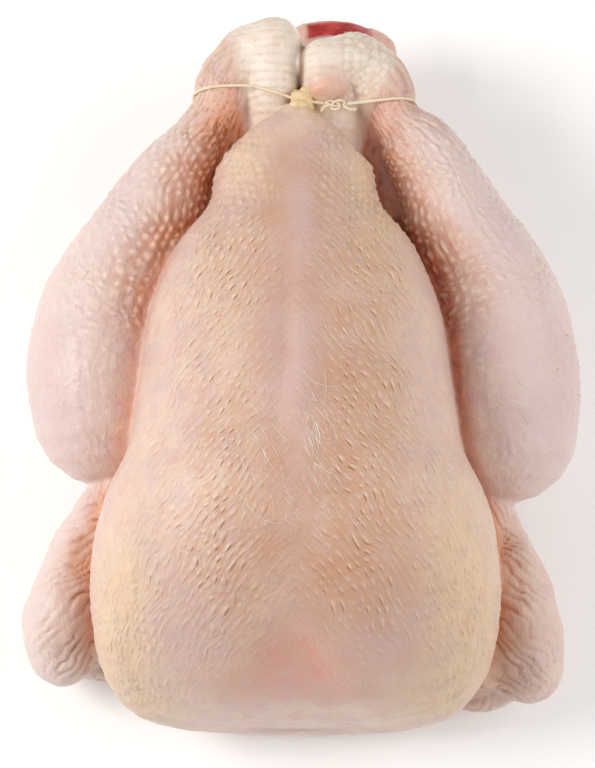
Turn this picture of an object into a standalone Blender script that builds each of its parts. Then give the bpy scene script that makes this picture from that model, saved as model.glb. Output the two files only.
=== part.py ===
"""A whole raw chicken on its back, breast up, with its hocks tied by a loop of elastic string.

+X is the right of the bird as seen from above, +Y points to its tail, +Z is up. The origin is on
the table, under the middle of the bird. Two solids: the bird, which is one piece of skin and
flesh, and the string.
"""

import math

import bmesh
import bpy
import numpy as np
from mathutils import Matrix, Vector

# Driving sizes, in metres
BIRD_WIDTH = 0.1975  # across the thighs
BIRD_LENGTH = 0.2604  # from the neck end to the end of the tail
BIRD_HEIGHT = 0.1176  # from the table to the top of the breast
STRING_DIAMETER = 0.0014
STRING_GAP = 0.0004  # between the string and the skin that it pinches

# How the skin is drawn over the joined forms
SKIN_VOXEL = 0.0017
SKIN_SMOOTHING = 0.5
SKIN_SMOOTHING_STEPS = 5
SKIN_TRIANGLES = 10000

# The forms below are set out in millimetres on a bird of this width, length and height
DRAWN_SIZE = (197.5, 260.4, 117.6)
SCALE = (BIRD_WIDTH / DRAWN_SIZE[0], BIRD_LENGTH / DRAWN_SIZE[1], BIRD_HEIGHT / DRAWN_SIZE[2])
ACROSS, ALONG, UP = SCALE

SKIN_COLOUR = (0.83, 0.62, 0.50, 1.0)
STRING_COLOUR = (0.86, 0.74, 0.55, 1.0)

# Carcass sections from the vent to the neck: place along the bird, half width, height of the
# breast, rise of the keel over it (a valley where negative), level of the widest point, and back
CARCASS_SECTIONS = (
    (94.8, 4.0, 73.0, 0.0, 69.0, 65.0),
    (91.5, 7.5, 75.5, 0.0, 68.5, 62.0),
    (87.5, 14.0, 78.0, 0.3, 67.0, 57.0),
    (82.5, 19.5, 80.0, 0.5, 65.0, 44.0),
    (73.0, 27.5, 83.0, 1.0, 62.0, 22.0),
    (62.0, 29.2, 87.0, 1.5, 60.0, 10.0),
    (56.0, 32.5, 89.0, 1.8, 60.0, 6.0),
    (49.5, 38.0, 92.0, 2.1, 60.0, 4.0),
    (42.0, 43.0, 95.5, 2.4, 60.0, 2.0),
    (17.0, 51.5, 105.0, 2.6, 61.0, -1.0),
    (-8.0, 54.5, 112.0, 2.4, 61.0, -2.0),
    (-28.0, 58.0, 115.5, 1.6, 60.0, -2.0),
    (-44.0, 65.5, 117.0, 0.4, 58.0, -2.0),
    (-59.0, 69.5, 115.5, -1.0, 56.0, -2.0),
    (-76.0, 70.8, 110.0, -3.0, 53.0, -2.0),
    (-92.0, 69.5, 99.0, -5.0, 47.0, -1.5),
    (-103.0, 66.5, 85.5, -6.0, 42.0, -1.0),
    (-111.0, 61.0, 71.0, -5.0, 37.0, 0.0),
    (-117.0, 53.0, 56.0, -3.0, 32.0, 3.0),
    (-120.0, 41.0, 45.0, -1.0, 28.0, 10.0),
)
CARCASS_MIDDLE = -2.0  # the keel lies this far to the left of the origin
KEEL_HALF_WIDTH = 15.0
BACK_NARROWING = 0.30  # share of the half width that the carcass loses down to its back

# Limb stations: place (x, y, z), half width across and half height
LEFT_LEG = {
    "thigh": ((-34, 36, 30, 24, 22), (-50, 20, 32, 28, 26), (-67, -4, 37, 27.5, 28)),
    "drumstick": (
        (-68.5, -8, 38, 27, 28),
        (-69, 5, 40, 28.5, 29),
        (-67.5, 24, 43, 26.5, 27),
        (-62.5, 37, 46, 24, 24.5),
        (-54, 55, 50, 19.5, 20),
        (-46, 72, 55, 14.5, 15),
        (-34.2, 89, 58.5, 9.4, 10.5),
        (-29.5, 97, 60.5, 8.6, 9.2),
        (-27.5, 104.5, 61.5, 9.9, 10),
        (-18, 117, 63, 10.4, 10.8),
    ),
    "hock": ((-15.5, 117, 64, 10.6, 11), (-10.5, 119, 68, 9.4, 10)),
    "shank": ((-10.5, 117, 68, 9.2, 9), (-10.5, 104, 64, 9, 8), (-11, 92, 55, 8.6, 7), (-12, 76, 46, 8, 6)),
    "flank": ((-38, 38, 36, 14, 16), (-31, 66, 36, 10, 12), (-25, 90, 34, 10, 10)),
}
RIGHT_LEG = {
    "thigh": ((34, 32, 30, 24, 22), (52, 12, 32, 28, 26), (70, -13, 36, 28, 28)),
    "drumstick": (
        (70.5, -14, 37, 28, 28),
        (70.5, -2, 39, 29, 29),
        (70, 17, 42, 27, 27),
        (64, 38, 46, 23.8, 24.5),
        (57.5, 52, 50, 20, 20.5),
        (49.5, 70, 55, 15.5, 16),
        (41, 84, 58, 13.2, 12.5),
        (33, 94.8, 60.5, 8.2, 9),
        (31.3, 99.5, 61, 10.4, 9.8),
        (27.2, 106, 62, 11.6, 11),
        (20.5, 111.5, 63, 11.8, 11),
    ),
    "hock": ((19, 112, 65, 11.5, 11), (9, 111, 69, 9, 10)),
    "shank": ((10, 109, 69, 9.5, 8.5), (12, 98, 63, 8.5, 7.5), (14, 87, 54, 7.5, 6.5), (15, 74, 46, 7, 6)),
    "flank": ((40, 38, 34, 14, 16), (33, 66, 34, 11, 12), (27, 92, 34, 11, 10)),
}
LEFT_WING = {
    "upper": ((-50, -90, 34, 17, 18), (-58, -62, 33, 15, 16), (-62.5, -38, 33, 12.5, 13)),
    "forearm": (
        (-64, -38, 31, 11.5, 12.5),
        (-76, -60, 27, 13.5, 14),
        (-84.6, -83, 23, 14, 15),
        (-84.5, -90.5, 20, 13, 13),
    ),
    "web": ((-58, -52, 27, 13, 8), (-67, -72, 22, 20, 11), (-67, -85, 19, 19, 12)),
    "hand": ((-83, -87, 14, 12, 9), (-68, -91, 11, 10, 8), (-48, -84, 9, 8, 6)),
}
RIGHT_WING = {
    "upper": ((46, -92, 34, 17, 18), (56, -68, 33, 15, 16), (64, -44, 32, 11.5, 12)),
    "forearm": (
        (68, -48, 30, 9.5, 10.5),
        (74, -66, 27, 13, 14),
        (79, -87, 23, 13.5, 15),
        (80, -97, 20, 13.5, 13),
    ),
    "web": ((57, -58, 27, 12, 8), (63, -77, 22, 18, 11), (63, -94, 19, 18, 13)),
    "hand": ((75, -95, 14, 12, 9), (64, -101, 11, 11, 8), (44, -88, 9, 8, 6)),
}
BELLY_AND_TAIL = (
    (-2, 24, 36, 50, 30),
    (-1, 54, 32, 43, 25),
    (2, 84, 27, 38, 20),
    (6, 102, 25, 32, 17),
    (10, 116, 28, 25, 14),
    (14, 124, 33, 22, 11),
    (15, 131.5, 36, 20.5, 8),
)
NECK_SKIN = ((-32, -108, 20, 8, 13), (-15, -112, 21, 9, 17), (11, -112, 21, 9, 17), (28, -108, 20, 8, 13))

# The tie: where the loop of string crosses the bird, seen from above, and how deep it presses
TIE_LINE = (
    (-42.0, 101.2),
    (-21.4, 101.8),
    (-16.7, 101.5),
    (-9.0, 99.3),
    (-2.0, 96.8),
    (12.0, 94.5),
    (17.0, 95.2),
    (27.0, 96.4),
    (43.0, 98.8),
)
TIE_LOWEST = 50.0  # the loop passes over nothing below this level
TIE_PRESS = 0.8
KNOT_AT = 11.0
KNOT_SIZE = 0.8  # a third of the knot's radius
KNOT_RISE = 1.6
KNOT_POCKET = 3.2


def clear_scene():
    """Removes every object that the start file holds."""
    for obj in list(bpy.data.objects):
        bpy.data.objects.remove(obj)


def material(name, colour, roughness):
    """A Principled material of one colour."""
    made = bpy.data.materials.new(name)
    made.use_nodes = True
    shader = made.node_tree.nodes["Principled BSDF"]
    shader.inputs["Base Color"].default_value = colour
    shader.inputs["Roughness"].default_value = roughness
    shader.inputs["Metallic"].default_value = 0.0
    made.diffuse_color = colour
    return made


def eased(keys, at):
    """The rows of keys, whose first column runs steadily, read at each value of at.

    The curve through the rows is smooth and never swings past them.
    """
    keys = np.array(keys, float)
    keys = keys[np.argsort(keys[:, 0])]
    x, y = keys[:, 0], keys[:, 1:]
    step = np.diff(x)[:, None]
    slope = np.diff(y, axis=0) / step
    same_way = slope[:-1] * slope[1:] > 0
    total = np.where(same_way, slope[:-1] + slope[1:], 1)
    inner = np.where(same_way, 2 * slope[:-1] * slope[1:] / total, 0)
    tangent = np.vstack([slope[:1], inner, slope[-1:]])
    i = np.clip(np.searchsorted(x, at) - 1, 0, len(x) - 2)
    t = ((at - x[i]) / step[i, 0])[:, None]
    h = step[i]
    start = (2 * t**3 - 3 * t**2 + 1) * y[i] + (t**3 - 2 * t**2 + t) * h * tangent[i]
    end = (3 * t**2 - 2 * t**3) * y[i + 1] + (t**3 - t**2) * h * tangent[i + 1]
    return start + end


def loft(name, rings, collection):
    """A closed skin over rings of points that run round the same way, with a point at each end."""
    shell = bmesh.new()
    loops = [[shell.verts.new(point) for point in ring] for ring in rings]
    for near, far in zip(loops, loops[1:]):
        for i in range(len(near)):
            j = (i + 1) % len(near)
            shell.faces.new((near[i], near[j], far[j], far[i]))
    for ring, end in ((rings[0], loops[0]), (rings[-1], loops[-1])):
        pole = shell.verts.new(sum((Vector(p) for p in ring), Vector()) / len(ring))
        for i in range(len(end)):
            shell.faces.new((end[i], end[(i + 1) % len(end)], pole))
    bmesh.ops.recalc_face_normals(shell, faces=shell.faces)
    mesh = bpy.data.meshes.new(name)
    shell.to_mesh(mesh)
    shell.free()
    obj = bpy.data.objects.new(name, mesh)
    collection.objects.link(obj)
    return obj


def carcass_ring(y, half_width, crown, keel, level, back, steps=56):
    """One section of the carcass: broad breast above, narrower back below, keel or valley on top."""
    turn = np.linspace(0, 2 * math.pi, steps, endpoint=False)
    side, rise = np.cos(turn), np.sin(turn)
    above = rise > 0
    reach = np.abs(side) ** np.where(above, 0.92, 0.80)
    height = np.abs(rise) ** np.where(above, 0.90, 0.64)
    depth = np.where(above, 0.0, height)
    x = np.sign(side) * half_width * reach * (1 - BACK_NARROWING * depth**1.6)
    z = np.where(above, level + (crown - level) * height, level - (level - back) * height)
    z = z + np.where(above, keel * np.exp(-((x / KEEL_HALF_WIDTH) ** 2)) * height, 0)
    x = x + CARCASS_MIDDLE
    return [(x[i] * ACROSS, y * ALONG, z[i] * UP) for i in range(steps)]


def carcass(collection):
    """Breast, back and belly as one loft from the vent to the neck."""
    first, last = CARCASS_SECTIONS[0][0], CARCASS_SECTIONS[-1][0]
    turn = np.linspace(0, math.pi, 46)
    at = (first + last) / 2 + (first - last) / 2 * np.cos(turn)
    rows = eased(CARCASS_SECTIONS, at)
    rings = [carcass_ring(y, *row) for y, row in zip(at, rows)]
    return loft("carcass", rings, collection)


def limb(name, stations, collection, steps=24):
    """A rounded limb over stations of place, half width and half height."""
    stations = np.array(stations, float)
    gaps = np.linalg.norm(np.diff(stations[:, :3], axis=0), axis=1)
    run = np.concatenate([[0], np.cumsum(gaps)])
    at = np.linspace(0, run[-1], max(6, int(run[-1] / 4)))
    rows = eased(np.column_stack([run, stations]), at)
    heading = np.gradient(rows[:, :3], at, axis=0)
    heading /= np.linalg.norm(heading, axis=1)[:, None]
    caps = np.radians((80, 60, 35))
    spans = [(0, -math.sin(a), math.cos(a)) for a in caps]
    spans += [(i, 0.0, 1.0) for i in range(len(rows))]
    spans += [(-1, math.sin(a), math.cos(a)) for a in caps[::-1]]
    turn = np.linspace(0, 2 * math.pi, steps, endpoint=False)
    rings = []
    for i, forward, shrink in spans:
        centre, wide, tall = rows[i, :3], rows[i, 3], rows[i, 4]
        side = np.cross(heading[i], (0, 0, 1))
        side /= np.linalg.norm(side)
        over = np.cross(side, heading[i])
        middle = centre + heading[i] * forward * min(wide, tall)
        ring = middle + shrink * (np.outer(np.cos(turn) * wide, side) + np.outer(np.sin(turn) * tall, over))
        rings.append([(p[0] * ACROSS, p[1] * ALONG, p[2] * UP) for p in ring])
    return loft(name, rings, collection)


def modifier(obj, kind, **settings):
    """Adds a modifier with these settings."""
    made = obj.modifiers.new(kind.title(), kind)
    for key, value in settings.items():
        setattr(made, key, value)
    return made


def evaluated_mesh(obj, name):
    """The object's mesh with its modifiers applied."""
    graph = bpy.context.evaluated_depsgraph_get()
    return bpy.data.meshes.new_from_object(obj.evaluated_get(graph), depsgraph=graph)


def apply_modifiers(obj):
    """Turns what the modifiers make into the object's own mesh."""
    made = evaluated_mesh(obj, obj.name)
    obj.modifiers.clear()
    obj.data = made


def new_collection(name):
    """A collection of this name in the scene."""
    made = bpy.data.collections.new(name)
    bpy.context.scene.collection.children.link(made)
    return made


def bird(parts, forms):
    """The bird, its forms joined and one skin drawn over them, and the route of the tie."""
    body = carcass(parts)
    body.name = "chicken"
    for side, leg in (("left", LEFT_LEG), ("right", RIGHT_LEG)):
        for piece, stations in leg.items():
            limb(f"{side}_{piece}", stations, forms)
    for side, wing in (("left", LEFT_WING), ("right", RIGHT_WING)):
        for piece, stations in wing.items():
            limb(f"{side}_wing_{piece}", stations, forms)
    limb("belly_and_tail", BELLY_AND_TAIL, forms)
    limb("neck_skin", NECK_SKIN, forms)
    modifier(body, "BOOLEAN", operation="UNION", operand_type="COLLECTION", collection=forms, solver="EXACT")
    apply_modifiers(body)
    for obj in list(forms.objects):
        bpy.data.objects.remove(obj)
    modifier(body, "REMESH", mode="VOXEL", voxel_size=SKIN_VOXEL)
    modifier(body, "SMOOTH", factor=SKIN_SMOOTHING, iterations=SKIN_SMOOTHING_STEPS)
    apply_modifiers(body)
    route = tie_route(body)
    share = SKIN_TRIANGLES / (2 * len(body.data.polygons))
    modifier(body, "DECIMATE", ratio=share, use_collapse_triangulate=True)
    apply_modifiers(body)
    rest_on_table(body)
    return body, route


def rest_on_table(body):
    """Cuts the back off flat where it rests, at the table's level."""
    shell = bmesh.new()
    shell.from_mesh(body.data)
    geom = shell.verts[:] + shell.edges[:] + shell.faces[:]
    bmesh.ops.bisect_plane(shell, geom=geom, plane_co=(0, 0, 0), plane_no=(0, 0, -1), clear_outer=True)
    rim = [e for e in shell.edges if e.is_boundary]
    bmesh.ops.holes_fill(shell, edges=rim)
    bmesh.ops.triangulate(shell, faces=[f for f in shell.faces if len(f.verts) > 3])
    bmesh.ops.remove_doubles(shell, verts=shell.verts, dist=0.00005)
    bmesh.ops.recalc_face_normals(shell, faces=shell.faces)
    shell.to_mesh(body.data)
    shell.free()


def hull(points):
    """The outline of a taut loop round points in a plane, running one way round."""
    points = sorted(set(points))
    halves = []
    for run in (points, points[::-1]):
        chain = []
        for p in run:
            while len(chain) > 1:
                (ax, ay), (bx, by) = chain[-2], chain[-1]
                if (bx - ax) * (p[1] - ay) - (by - ay) * (p[0] - ax) > 0:
                    break
                chain.pop()
            chain.append(p)
        halves += chain[:-1]
    return halves


def tie_route(body, steps=84):
    """Even steps along a taut loop round the ankles and shanks, pressed a little into the skin."""
    line = np.array(TIE_LINE)
    skin = np.array([v.co for v in body.data.vertices]) / SCALE
    crossed = np.abs(skin[:, 1] - np.interp(skin[:, 0], line[:, 0], line[:, 1])) < 1.0
    skin = skin[crossed & (skin[:, 2] > TIE_LOWEST)]
    loop = np.array(hull([(float(x), float(z)) for x, _, z in skin]))
    loop = np.vstack([loop, loop[:1]])
    run = np.concatenate([[0], np.cumsum(np.linalg.norm(np.diff(loop, axis=0), axis=1))])
    at = np.linspace(0, run[-1], steps, endpoint=False)
    x, z = (np.interp(at, run, loop[:, i]) for i in (0, 1))
    for _ in range(3):
        x, z = ((np.roll(c, 1) + 2 * c + np.roll(c, -1)) / 4 for c in (x, z))
    lean = np.stack([np.roll(z, -1) - np.roll(z, 1), np.roll(x, 1) - np.roll(x, -1)])
    lean /= np.linalg.norm(lean, axis=0)
    x, z = x - lean[0] * TIE_PRESS, z - lean[1] * TIE_PRESS
    y = np.interp(x, line[:, 0], line[:, 1])
    return np.stack([x, y, z], axis=1)


def tube(name, places, radius, collection, closed=True):
    """A round cord along the places, joined up with itself or closed at its ends."""
    curve = bpy.data.curves.new(name, "CURVE")
    curve.dimensions = "3D"
    curve.bevel_depth = radius
    curve.bevel_resolution = 2
    curve.use_fill_caps = True
    spline = curve.splines.new("POLY")
    spline.points.add(len(places) - 1)
    for point, place in zip(spline.points, places):
        point.co = (*(np.array(place) * SCALE), 1)
    spline.use_cyclic_u = closed
    drawn = bpy.data.objects.new(f"{name}_path", curve)
    collection.objects.link(drawn)
    obj = bpy.data.objects.new(name, evaluated_mesh(drawn, name))
    bpy.data.objects.remove(drawn)
    collection.objects.link(obj)
    shell = bmesh.new()
    shell.from_mesh(obj.data)
    bmesh.ops.remove_doubles(shell, verts=shell.verts, dist=0.00001)
    bmesh.ops.recalc_face_normals(shell, faces=shell.faces)
    shell.to_mesh(obj.data)
    shell.free()
    return obj


def ball(name, middle, radius, collection):
    """A small ball about the place given."""
    shell = bmesh.new()
    place = Matrix.Translation(middle * SCALE)
    bmesh.ops.create_icosphere(shell, subdivisions=2, radius=radius * ALONG, matrix=place)
    mesh = bpy.data.meshes.new(name)
    shell.to_mesh(mesh)
    shell.free()
    obj = bpy.data.objects.new(name, mesh)
    collection.objects.link(obj)
    return obj


def knot(middle, collection, steps=34):
    """An overhand knot drawn up small, lying flat on the place given."""
    turn = np.linspace(0, 2 * math.pi, steps, endpoint=False)
    x = np.sin(turn) + 2 * np.sin(2 * turn)
    y = np.cos(turn) - 2 * np.cos(2 * turn)
    z = -np.sin(3 * turn)
    places = middle + KNOT_SIZE * np.stack([1.2 * x, 0.8 * y, z], axis=1)
    return tube("knot", places, 0.45 * STRING_DIAMETER, collection)


def tie(parts, cutters, body, route):
    """The loop of string with its knot, and the groove that they press in the skin."""
    over = route[route[:, 2] > TIE_LOWEST + 10]
    middle = over[np.argmin(np.abs(over[:, 0] - KNOT_AT))] + (0, 0, KNOT_RISE)
    string = tube("truss_string", route, STRING_DIAMETER / 2, parts)
    tied = knot(middle, cutters)
    modifier(string, "BOOLEAN", operation="UNION", object=tied, solver="EXACT")
    apply_modifiers(string)
    bpy.data.objects.remove(tied)
    groove = tube("groove", route, STRING_DIAMETER / 2 + STRING_GAP, cutters)
    pocket = ball("pocket", middle, KNOT_POCKET, cutters)
    for cutter in (groove, pocket):
        cutter.display_type = "WIRE"
        cutter.hide_render = True
        modifier(body, "BOOLEAN", operation="DIFFERENCE", object=cutter, solver="EXACT")
    apply_modifiers(body)
    return string


def centre(*objects):
    """Moves the solids so that the origin is under the middle of the whole."""
    corners = [np.array(corner) for obj in objects for corner in obj.bound_box]
    middle = (np.min(corners, axis=0) + np.max(corners, axis=0)) / 2
    for obj in objects:
        obj.data.transform(Matrix.Translation((-middle[0], -middle[1], 0)))


def main():
    clear_scene()
    parts = new_collection("raw_chicken")
    forms = new_collection("forms")
    chicken, route = bird(parts, forms)
    chicken.data.materials.clear()
    chicken.data.materials.append(material("raw_skin", SKIN_COLOUR, 0.45))
    string = tie(parts, new_collection("cutters"), chicken, route)
    centre(chicken, string)
    string.data.materials.clear()
    string.data.materials.append(material("elastic_string", STRING_COLOUR, 0.7))


main()
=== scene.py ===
"""The look of a whole raw chicken on its back, its hocks tied with elastic string."""

import logging
import math
from dataclasses import dataclass, field
from enum import Enum
from functools import cached_property, reduce

import bmesh
import bpy
import numpy as np
from mathutils import Matrix, Vector
from mathutils.bvhtree import BVHTree

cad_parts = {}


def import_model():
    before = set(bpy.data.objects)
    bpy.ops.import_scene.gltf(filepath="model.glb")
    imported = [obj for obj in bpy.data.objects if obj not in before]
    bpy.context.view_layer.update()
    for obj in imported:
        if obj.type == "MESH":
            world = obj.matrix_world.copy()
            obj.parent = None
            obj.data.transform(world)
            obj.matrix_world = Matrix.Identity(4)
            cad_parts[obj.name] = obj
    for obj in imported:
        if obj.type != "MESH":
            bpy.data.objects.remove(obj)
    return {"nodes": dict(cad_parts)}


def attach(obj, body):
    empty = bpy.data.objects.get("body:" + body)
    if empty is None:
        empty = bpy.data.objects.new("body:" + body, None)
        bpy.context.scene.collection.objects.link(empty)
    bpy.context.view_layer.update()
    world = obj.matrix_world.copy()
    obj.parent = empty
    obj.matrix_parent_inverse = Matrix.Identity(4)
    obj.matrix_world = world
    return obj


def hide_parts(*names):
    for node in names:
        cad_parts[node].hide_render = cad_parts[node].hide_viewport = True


LOG = logging.getLogger("raw_chicken")
Socket = bpy.types.NodeSocket
MILLIMETRE = 0.001
CENTRE_SHIFT = (-0.57, -9.30)  # from where the forms are drawn to the middle of the bird, in mm


class Kind(Enum):
    """What sort of skin a form carries."""

    TORSO = "torso"
    LEG = "leg"
    SHANK = "shank"
    WING = "wing"
    BELLY = "belly"


def smooth(low: float, high: float, value: np.ndarray) -> np.ndarray:
    """Eases from 0 at low to 1 at high.

    Args:
        low: where the ramp starts.
        high: where it ends; it may be less than low.
        value: the values to read it at.

    Returns:
        The eased values.
    """
    t = np.clip((value - low) / (high - low), 0, 1)
    return t * t * (3 - 2 * t)


def bell(value: np.ndarray, middle: float, width: float) -> np.ndarray:
    """A soft hump, 1 at the middle."""
    return np.exp(-(((value - middle) / width) ** 2))


def eased(keys: np.ndarray, at: np.ndarray) -> np.ndarray:
    """Reads a smooth curve through rows of keys that never swings past them.

    Args:
        keys: rows, the first column running one way.
        at: the places along the first column.

    Returns:
        The other columns at those places.
    """
    keys = np.array(keys, float)
    keys = keys[np.argsort(keys[:, 0])]
    x, y = keys[:, 0], keys[:, 1:]
    step = np.diff(x)[:, None]
    slope = np.diff(y, axis=0) / step
    same_way = slope[:-1] * slope[1:] > 0
    total = np.where(same_way, slope[:-1] + slope[1:], 1)
    inner = np.where(same_way, 2 * slope[:-1] * slope[1:] / total, 0)
    tangent = np.vstack([slope[:1], inner, slope[-1:]])
    i = np.clip(np.searchsorted(x, at) - 1, 0, len(x) - 2)
    t = ((at - x[i]) / step[i, 0])[:, None]
    h = step[i]
    start = (2 * t**3 - 3 * t**2 + 1) * y[i] + (t**3 - 2 * t**2 + t) * h * tangent[i]
    end = (3 * t**2 - 2 * t**3) * y[i + 1] + (t**3 - t**2) * h * tangent[i + 1]
    return start + end


def scatter(cell: np.ndarray, seed: int) -> np.ndarray:
    """A steady random value from 0 to 1 for each whole-numbered cell.

    Args:
        cell: rows of whole numbers.
        seed: which set of values.

    Returns:
        One value a row.
    """
    mixed = np.full(len(cell), 374761393 * (seed + 1), np.int64)
    for column, prime in zip(cell.T, (668265263, 2246822519, 3266489917)):
        mixed = (mixed ^ (column.astype(np.int64) * prime)) & 0xFFFFFFFF
        mixed = ((mixed ^ (mixed >> 15)) * 2246822519) & 0xFFFFFFFF
        mixed = mixed ^ (mixed >> 13)
    return (mixed & 0xFFFFFF) / float(0xFFFFFF)


def noise(points: np.ndarray, size: float, seed: int = 0, octaves: int = 2) -> np.ndarray:
    """Smooth random hills from -1 to 1.

    Args:
        points: rows of places.
        size: the spacing of the hills.
        seed: which set of hills.
        octaves: how many finer layers are added.

    Returns:
        One value a row.
    """
    total = np.zeros(len(points))
    gain, reach = 1.0, 0.0
    for octave in range(octaves):
        p = points / size * 2**octave
        base = np.floor(p)
        f = p - base
        f = f * f * (3 - 2 * f)
        value = np.zeros(len(points))
        for corner in range(8):
            bit = np.array([corner & 1, corner >> 1 & 1, corner >> 2 & 1])
            weight = np.prod(np.where(bit, f, 1 - f), axis=1)
            value += weight * scatter(base + bit, seed + 17 * octave)
        total += gain * (2 * value - 1)
        reach += gain
        gain *= 0.5
    return total / reach


def lumps(points: np.ndarray, size: float, seed: int = 0) -> tuple[np.ndarray, np.ndarray]:
    """Rounded cells, as cobbles or lumps of fat.

    Args:
        points: rows of places.
        size: the spacing of the cells.
        seed: which set of cells.

    Returns:
        Distance to the nearest cell's middle, and the gap to the next one, both in cells.
    """
    p = points / size
    base = np.floor(p)
    near = np.full(len(p), 9.0)
    second = np.full(len(p), 9.0)
    for dx in (-1, 0, 1):
        for dy in (-1, 0, 1):
            for dz in (-1, 0, 1):
                cell = base + (dx, dy, dz)
                place = cell + np.stack([scatter(cell, seed + k) for k in range(3)], axis=1) * 0.8 + 0.1
                d = np.linalg.norm(p - place, axis=1)
                second = np.minimum(second, np.maximum(near, d))
                near = np.minimum(near, d)
    return near, second - near


# The follicles lie in a staggered lattice, each a little off its cell's middle. The skin's relief and
# its material both work the offsets out from these, so that the two agree.
CELL_MIX = ((0.7548777, 0.5698403, 0.0), (0.3819660, 0.8191725, 0.37))
OFFSET_MIX = ((13.17, 7.31), (5.71, 19.13))
CHANCE_MIX = (3.7, 9.1)
JITTER = 0.30  # how far a follicle lies off its cell's middle, in cells
ROW_STEP = 4.0  # between follicles along a limb, in mm
GIRTH_STEP = 3.8  # between follicles round a limb, in mm
BREAST_LEAN = (0.75, 0.66)  # how the breast's rows slant between the keel's way and the way round
BREAST_STEPS = (4.2, 2.8)  # between follicles along and across the breast's rows, in mm
PLATE_STEP = 2.4  # between the plates across a shank, in mm
COBBLE_SIZE = 3.1  # of the cobbles on a hock, in mm
RIDGE_SIZE = (1.15, 0.75)  # a slanting mark's ridge, along and across, in the follicle's radii
RIDGE_OFF = 0.2  # how far the ridge lies beside the follicle, in its radii
PIT_OFF = (0.2, 0.5)  # how far a mark's dark pit lies beside the follicle, in its radii
PIT_WIDTH = 0.24  # the pit's width, in the follicle's radii
FOLD_WIDTH = 3.4  # of the wings' folds, in the folds' own measure


def staggered(u: np.ndarray, v: np.ndarray) -> tuple[np.ndarray, np.ndarray, np.ndarray]:
    """Where a point lies about its follicle in the staggered lattice.

    Args:
        u: the place along the rows, in cells.
        v: the place across the rows, in cells.

    Returns:
        The offsets from the follicle in its own radii, and a random value a follicle.
    """
    row = np.floor(v)
    shifted = u + 0.5 * np.mod(row, 2)
    column = np.floor(shifted)
    a, b = (np.mod(m[0] * column + m[1] * row + m[2], 1) for m in CELL_MIX)
    first, second = (np.mod(m[0] * a + m[1] * b, 1) for m in OFFSET_MIX)
    off_u, off_v = (first - 0.5) * JITTER, (second - 0.5) * JITTER
    radius = 0.5 - np.maximum(np.abs(off_u), np.abs(off_v))
    chance = np.mod(CHANCE_MIX[0] * first + CHANCE_MIX[1] * second, 1)
    return (shifted - column - 0.5 - off_u) / radius, (v - row - 0.5 - off_v) / radius, chance


@dataclass(frozen=True)
class Heights:
    """How far each sort of relief stands off the skin or lies in it, in mm."""

    sag: float = 0.7
    unevenness: float = 0.16
    leg_bump: float = 1.15
    mark: float = 0.36
    comb: float = 0.4
    wrinkle: float = 0.9
    wing_fold: float = 1.05
    wing_grain: float = 0.6
    wing_sag: float = 1.2
    fat_lobe: float = 1.3
    fat_grain: float = 0.8
    flap_edge: float = 0.9
    crumb: float = 1.1
    raw_cut: float = 1.3
    raw_grain: float = 0.5
    keel: float = 0.45
    furrow: float = 1.1
    wishbone: float = 1.3
    bone: float = 0.3
    plate: float = 0.24
    cobble: float = 0.5


HEIGHTS = Heights()


@dataclass
class Surface:
    """How a form's surface lies at a set of points: how far off, and where on it."""

    distance: np.ndarray
    along: np.ndarray
    turn: np.ndarray


@dataclass
class Limb:
    """A rounded form over stations of place, half width and half height, in mm."""

    name: str
    kind: Kind
    stations: tuple[tuple[float, ...], ...]
    sides: int = 40
    rows: np.ndarray = field(init=False)
    run: np.ndarray = field(init=False)
    heading: np.ndarray = field(init=False)
    side: np.ndarray = field(init=False)
    over: np.ndarray = field(init=False)

    def __post_init__(self) -> None:
        stations = np.array(self.stations, float)
        gaps = np.linalg.norm(np.diff(stations[:, :3], axis=0), axis=1)
        length = np.concatenate([[0], np.cumsum(gaps)])
        self.run = np.linspace(0, length[-1], max(8, int(length[-1] / 2.5)))
        self.rows = eased(np.column_stack([length, stations]), self.run)
        heading = np.gradient(self.rows[:, :3], self.run, axis=0)
        self.heading = heading / np.linalg.norm(heading, axis=1)[:, None]
        side = np.cross(self.heading, (0, 0, 1))
        self.side = side / np.linalg.norm(side, axis=1)[:, None]
        self.over = np.cross(self.side, self.heading)

    def rings(self) -> np.ndarray:
        """The rings of points that the form's skin runs over, rounded at both ends."""
        caps = np.radians((80, 60, 40, 20))
        spans = [(0, -math.sin(a), math.cos(a)) for a in caps]
        spans += [(i, 0.0, 1.0) for i in range(len(self.rows))]
        spans += [(-1, math.sin(a), math.cos(a)) for a in caps[::-1]]
        turn = np.linspace(0, 2 * math.pi, self.sides, endpoint=False)
        rings = []
        for i, forward, shrink in spans:
            wide, tall = self.rows[i, 3:5]
            middle = self.rows[i, :3] + self.heading[i] * forward * min(wide, tall)
            spread = np.outer(np.cos(turn) * wide, self.side[i]) + np.outer(np.sin(turn) * tall, self.over[i])
            rings.append(middle + shrink * spread)
        return np.array(rings)

    def survey(self, points: np.ndarray) -> Surface:
        """Finds how far each point lies off the form, and where along and round it."""
        centres = self.rows[:, :3]
        near = (centres**2).sum(axis=1) - 2 * points @ centres.T
        i = np.argmin(near, axis=1)
        step = np.einsum("ij,ij->i", points - centres[i], self.heading[i])
        along = self.run[i] + step
        inside = np.clip(along, 0, self.run[-1])
        middle = np.stack([np.interp(inside, self.run, self.rows[:, k]) for k in range(3)], axis=1)
        wide = np.interp(inside, self.run, self.rows[:, 3])
        tall = np.interp(inside, self.run, self.rows[:, 4])
        off = points - middle
        a = np.einsum("ij,ij->i", off, self.side[i]) / wide
        b = np.einsum("ij,ij->i", off, self.over[i]) / tall
        least = np.minimum(wide, tall)
        past = (along - inside) / least
        distance = (np.sqrt(a * a + b * b + past * past) - 1) * least
        return Surface(distance, along, np.arctan2(a, b))


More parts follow.
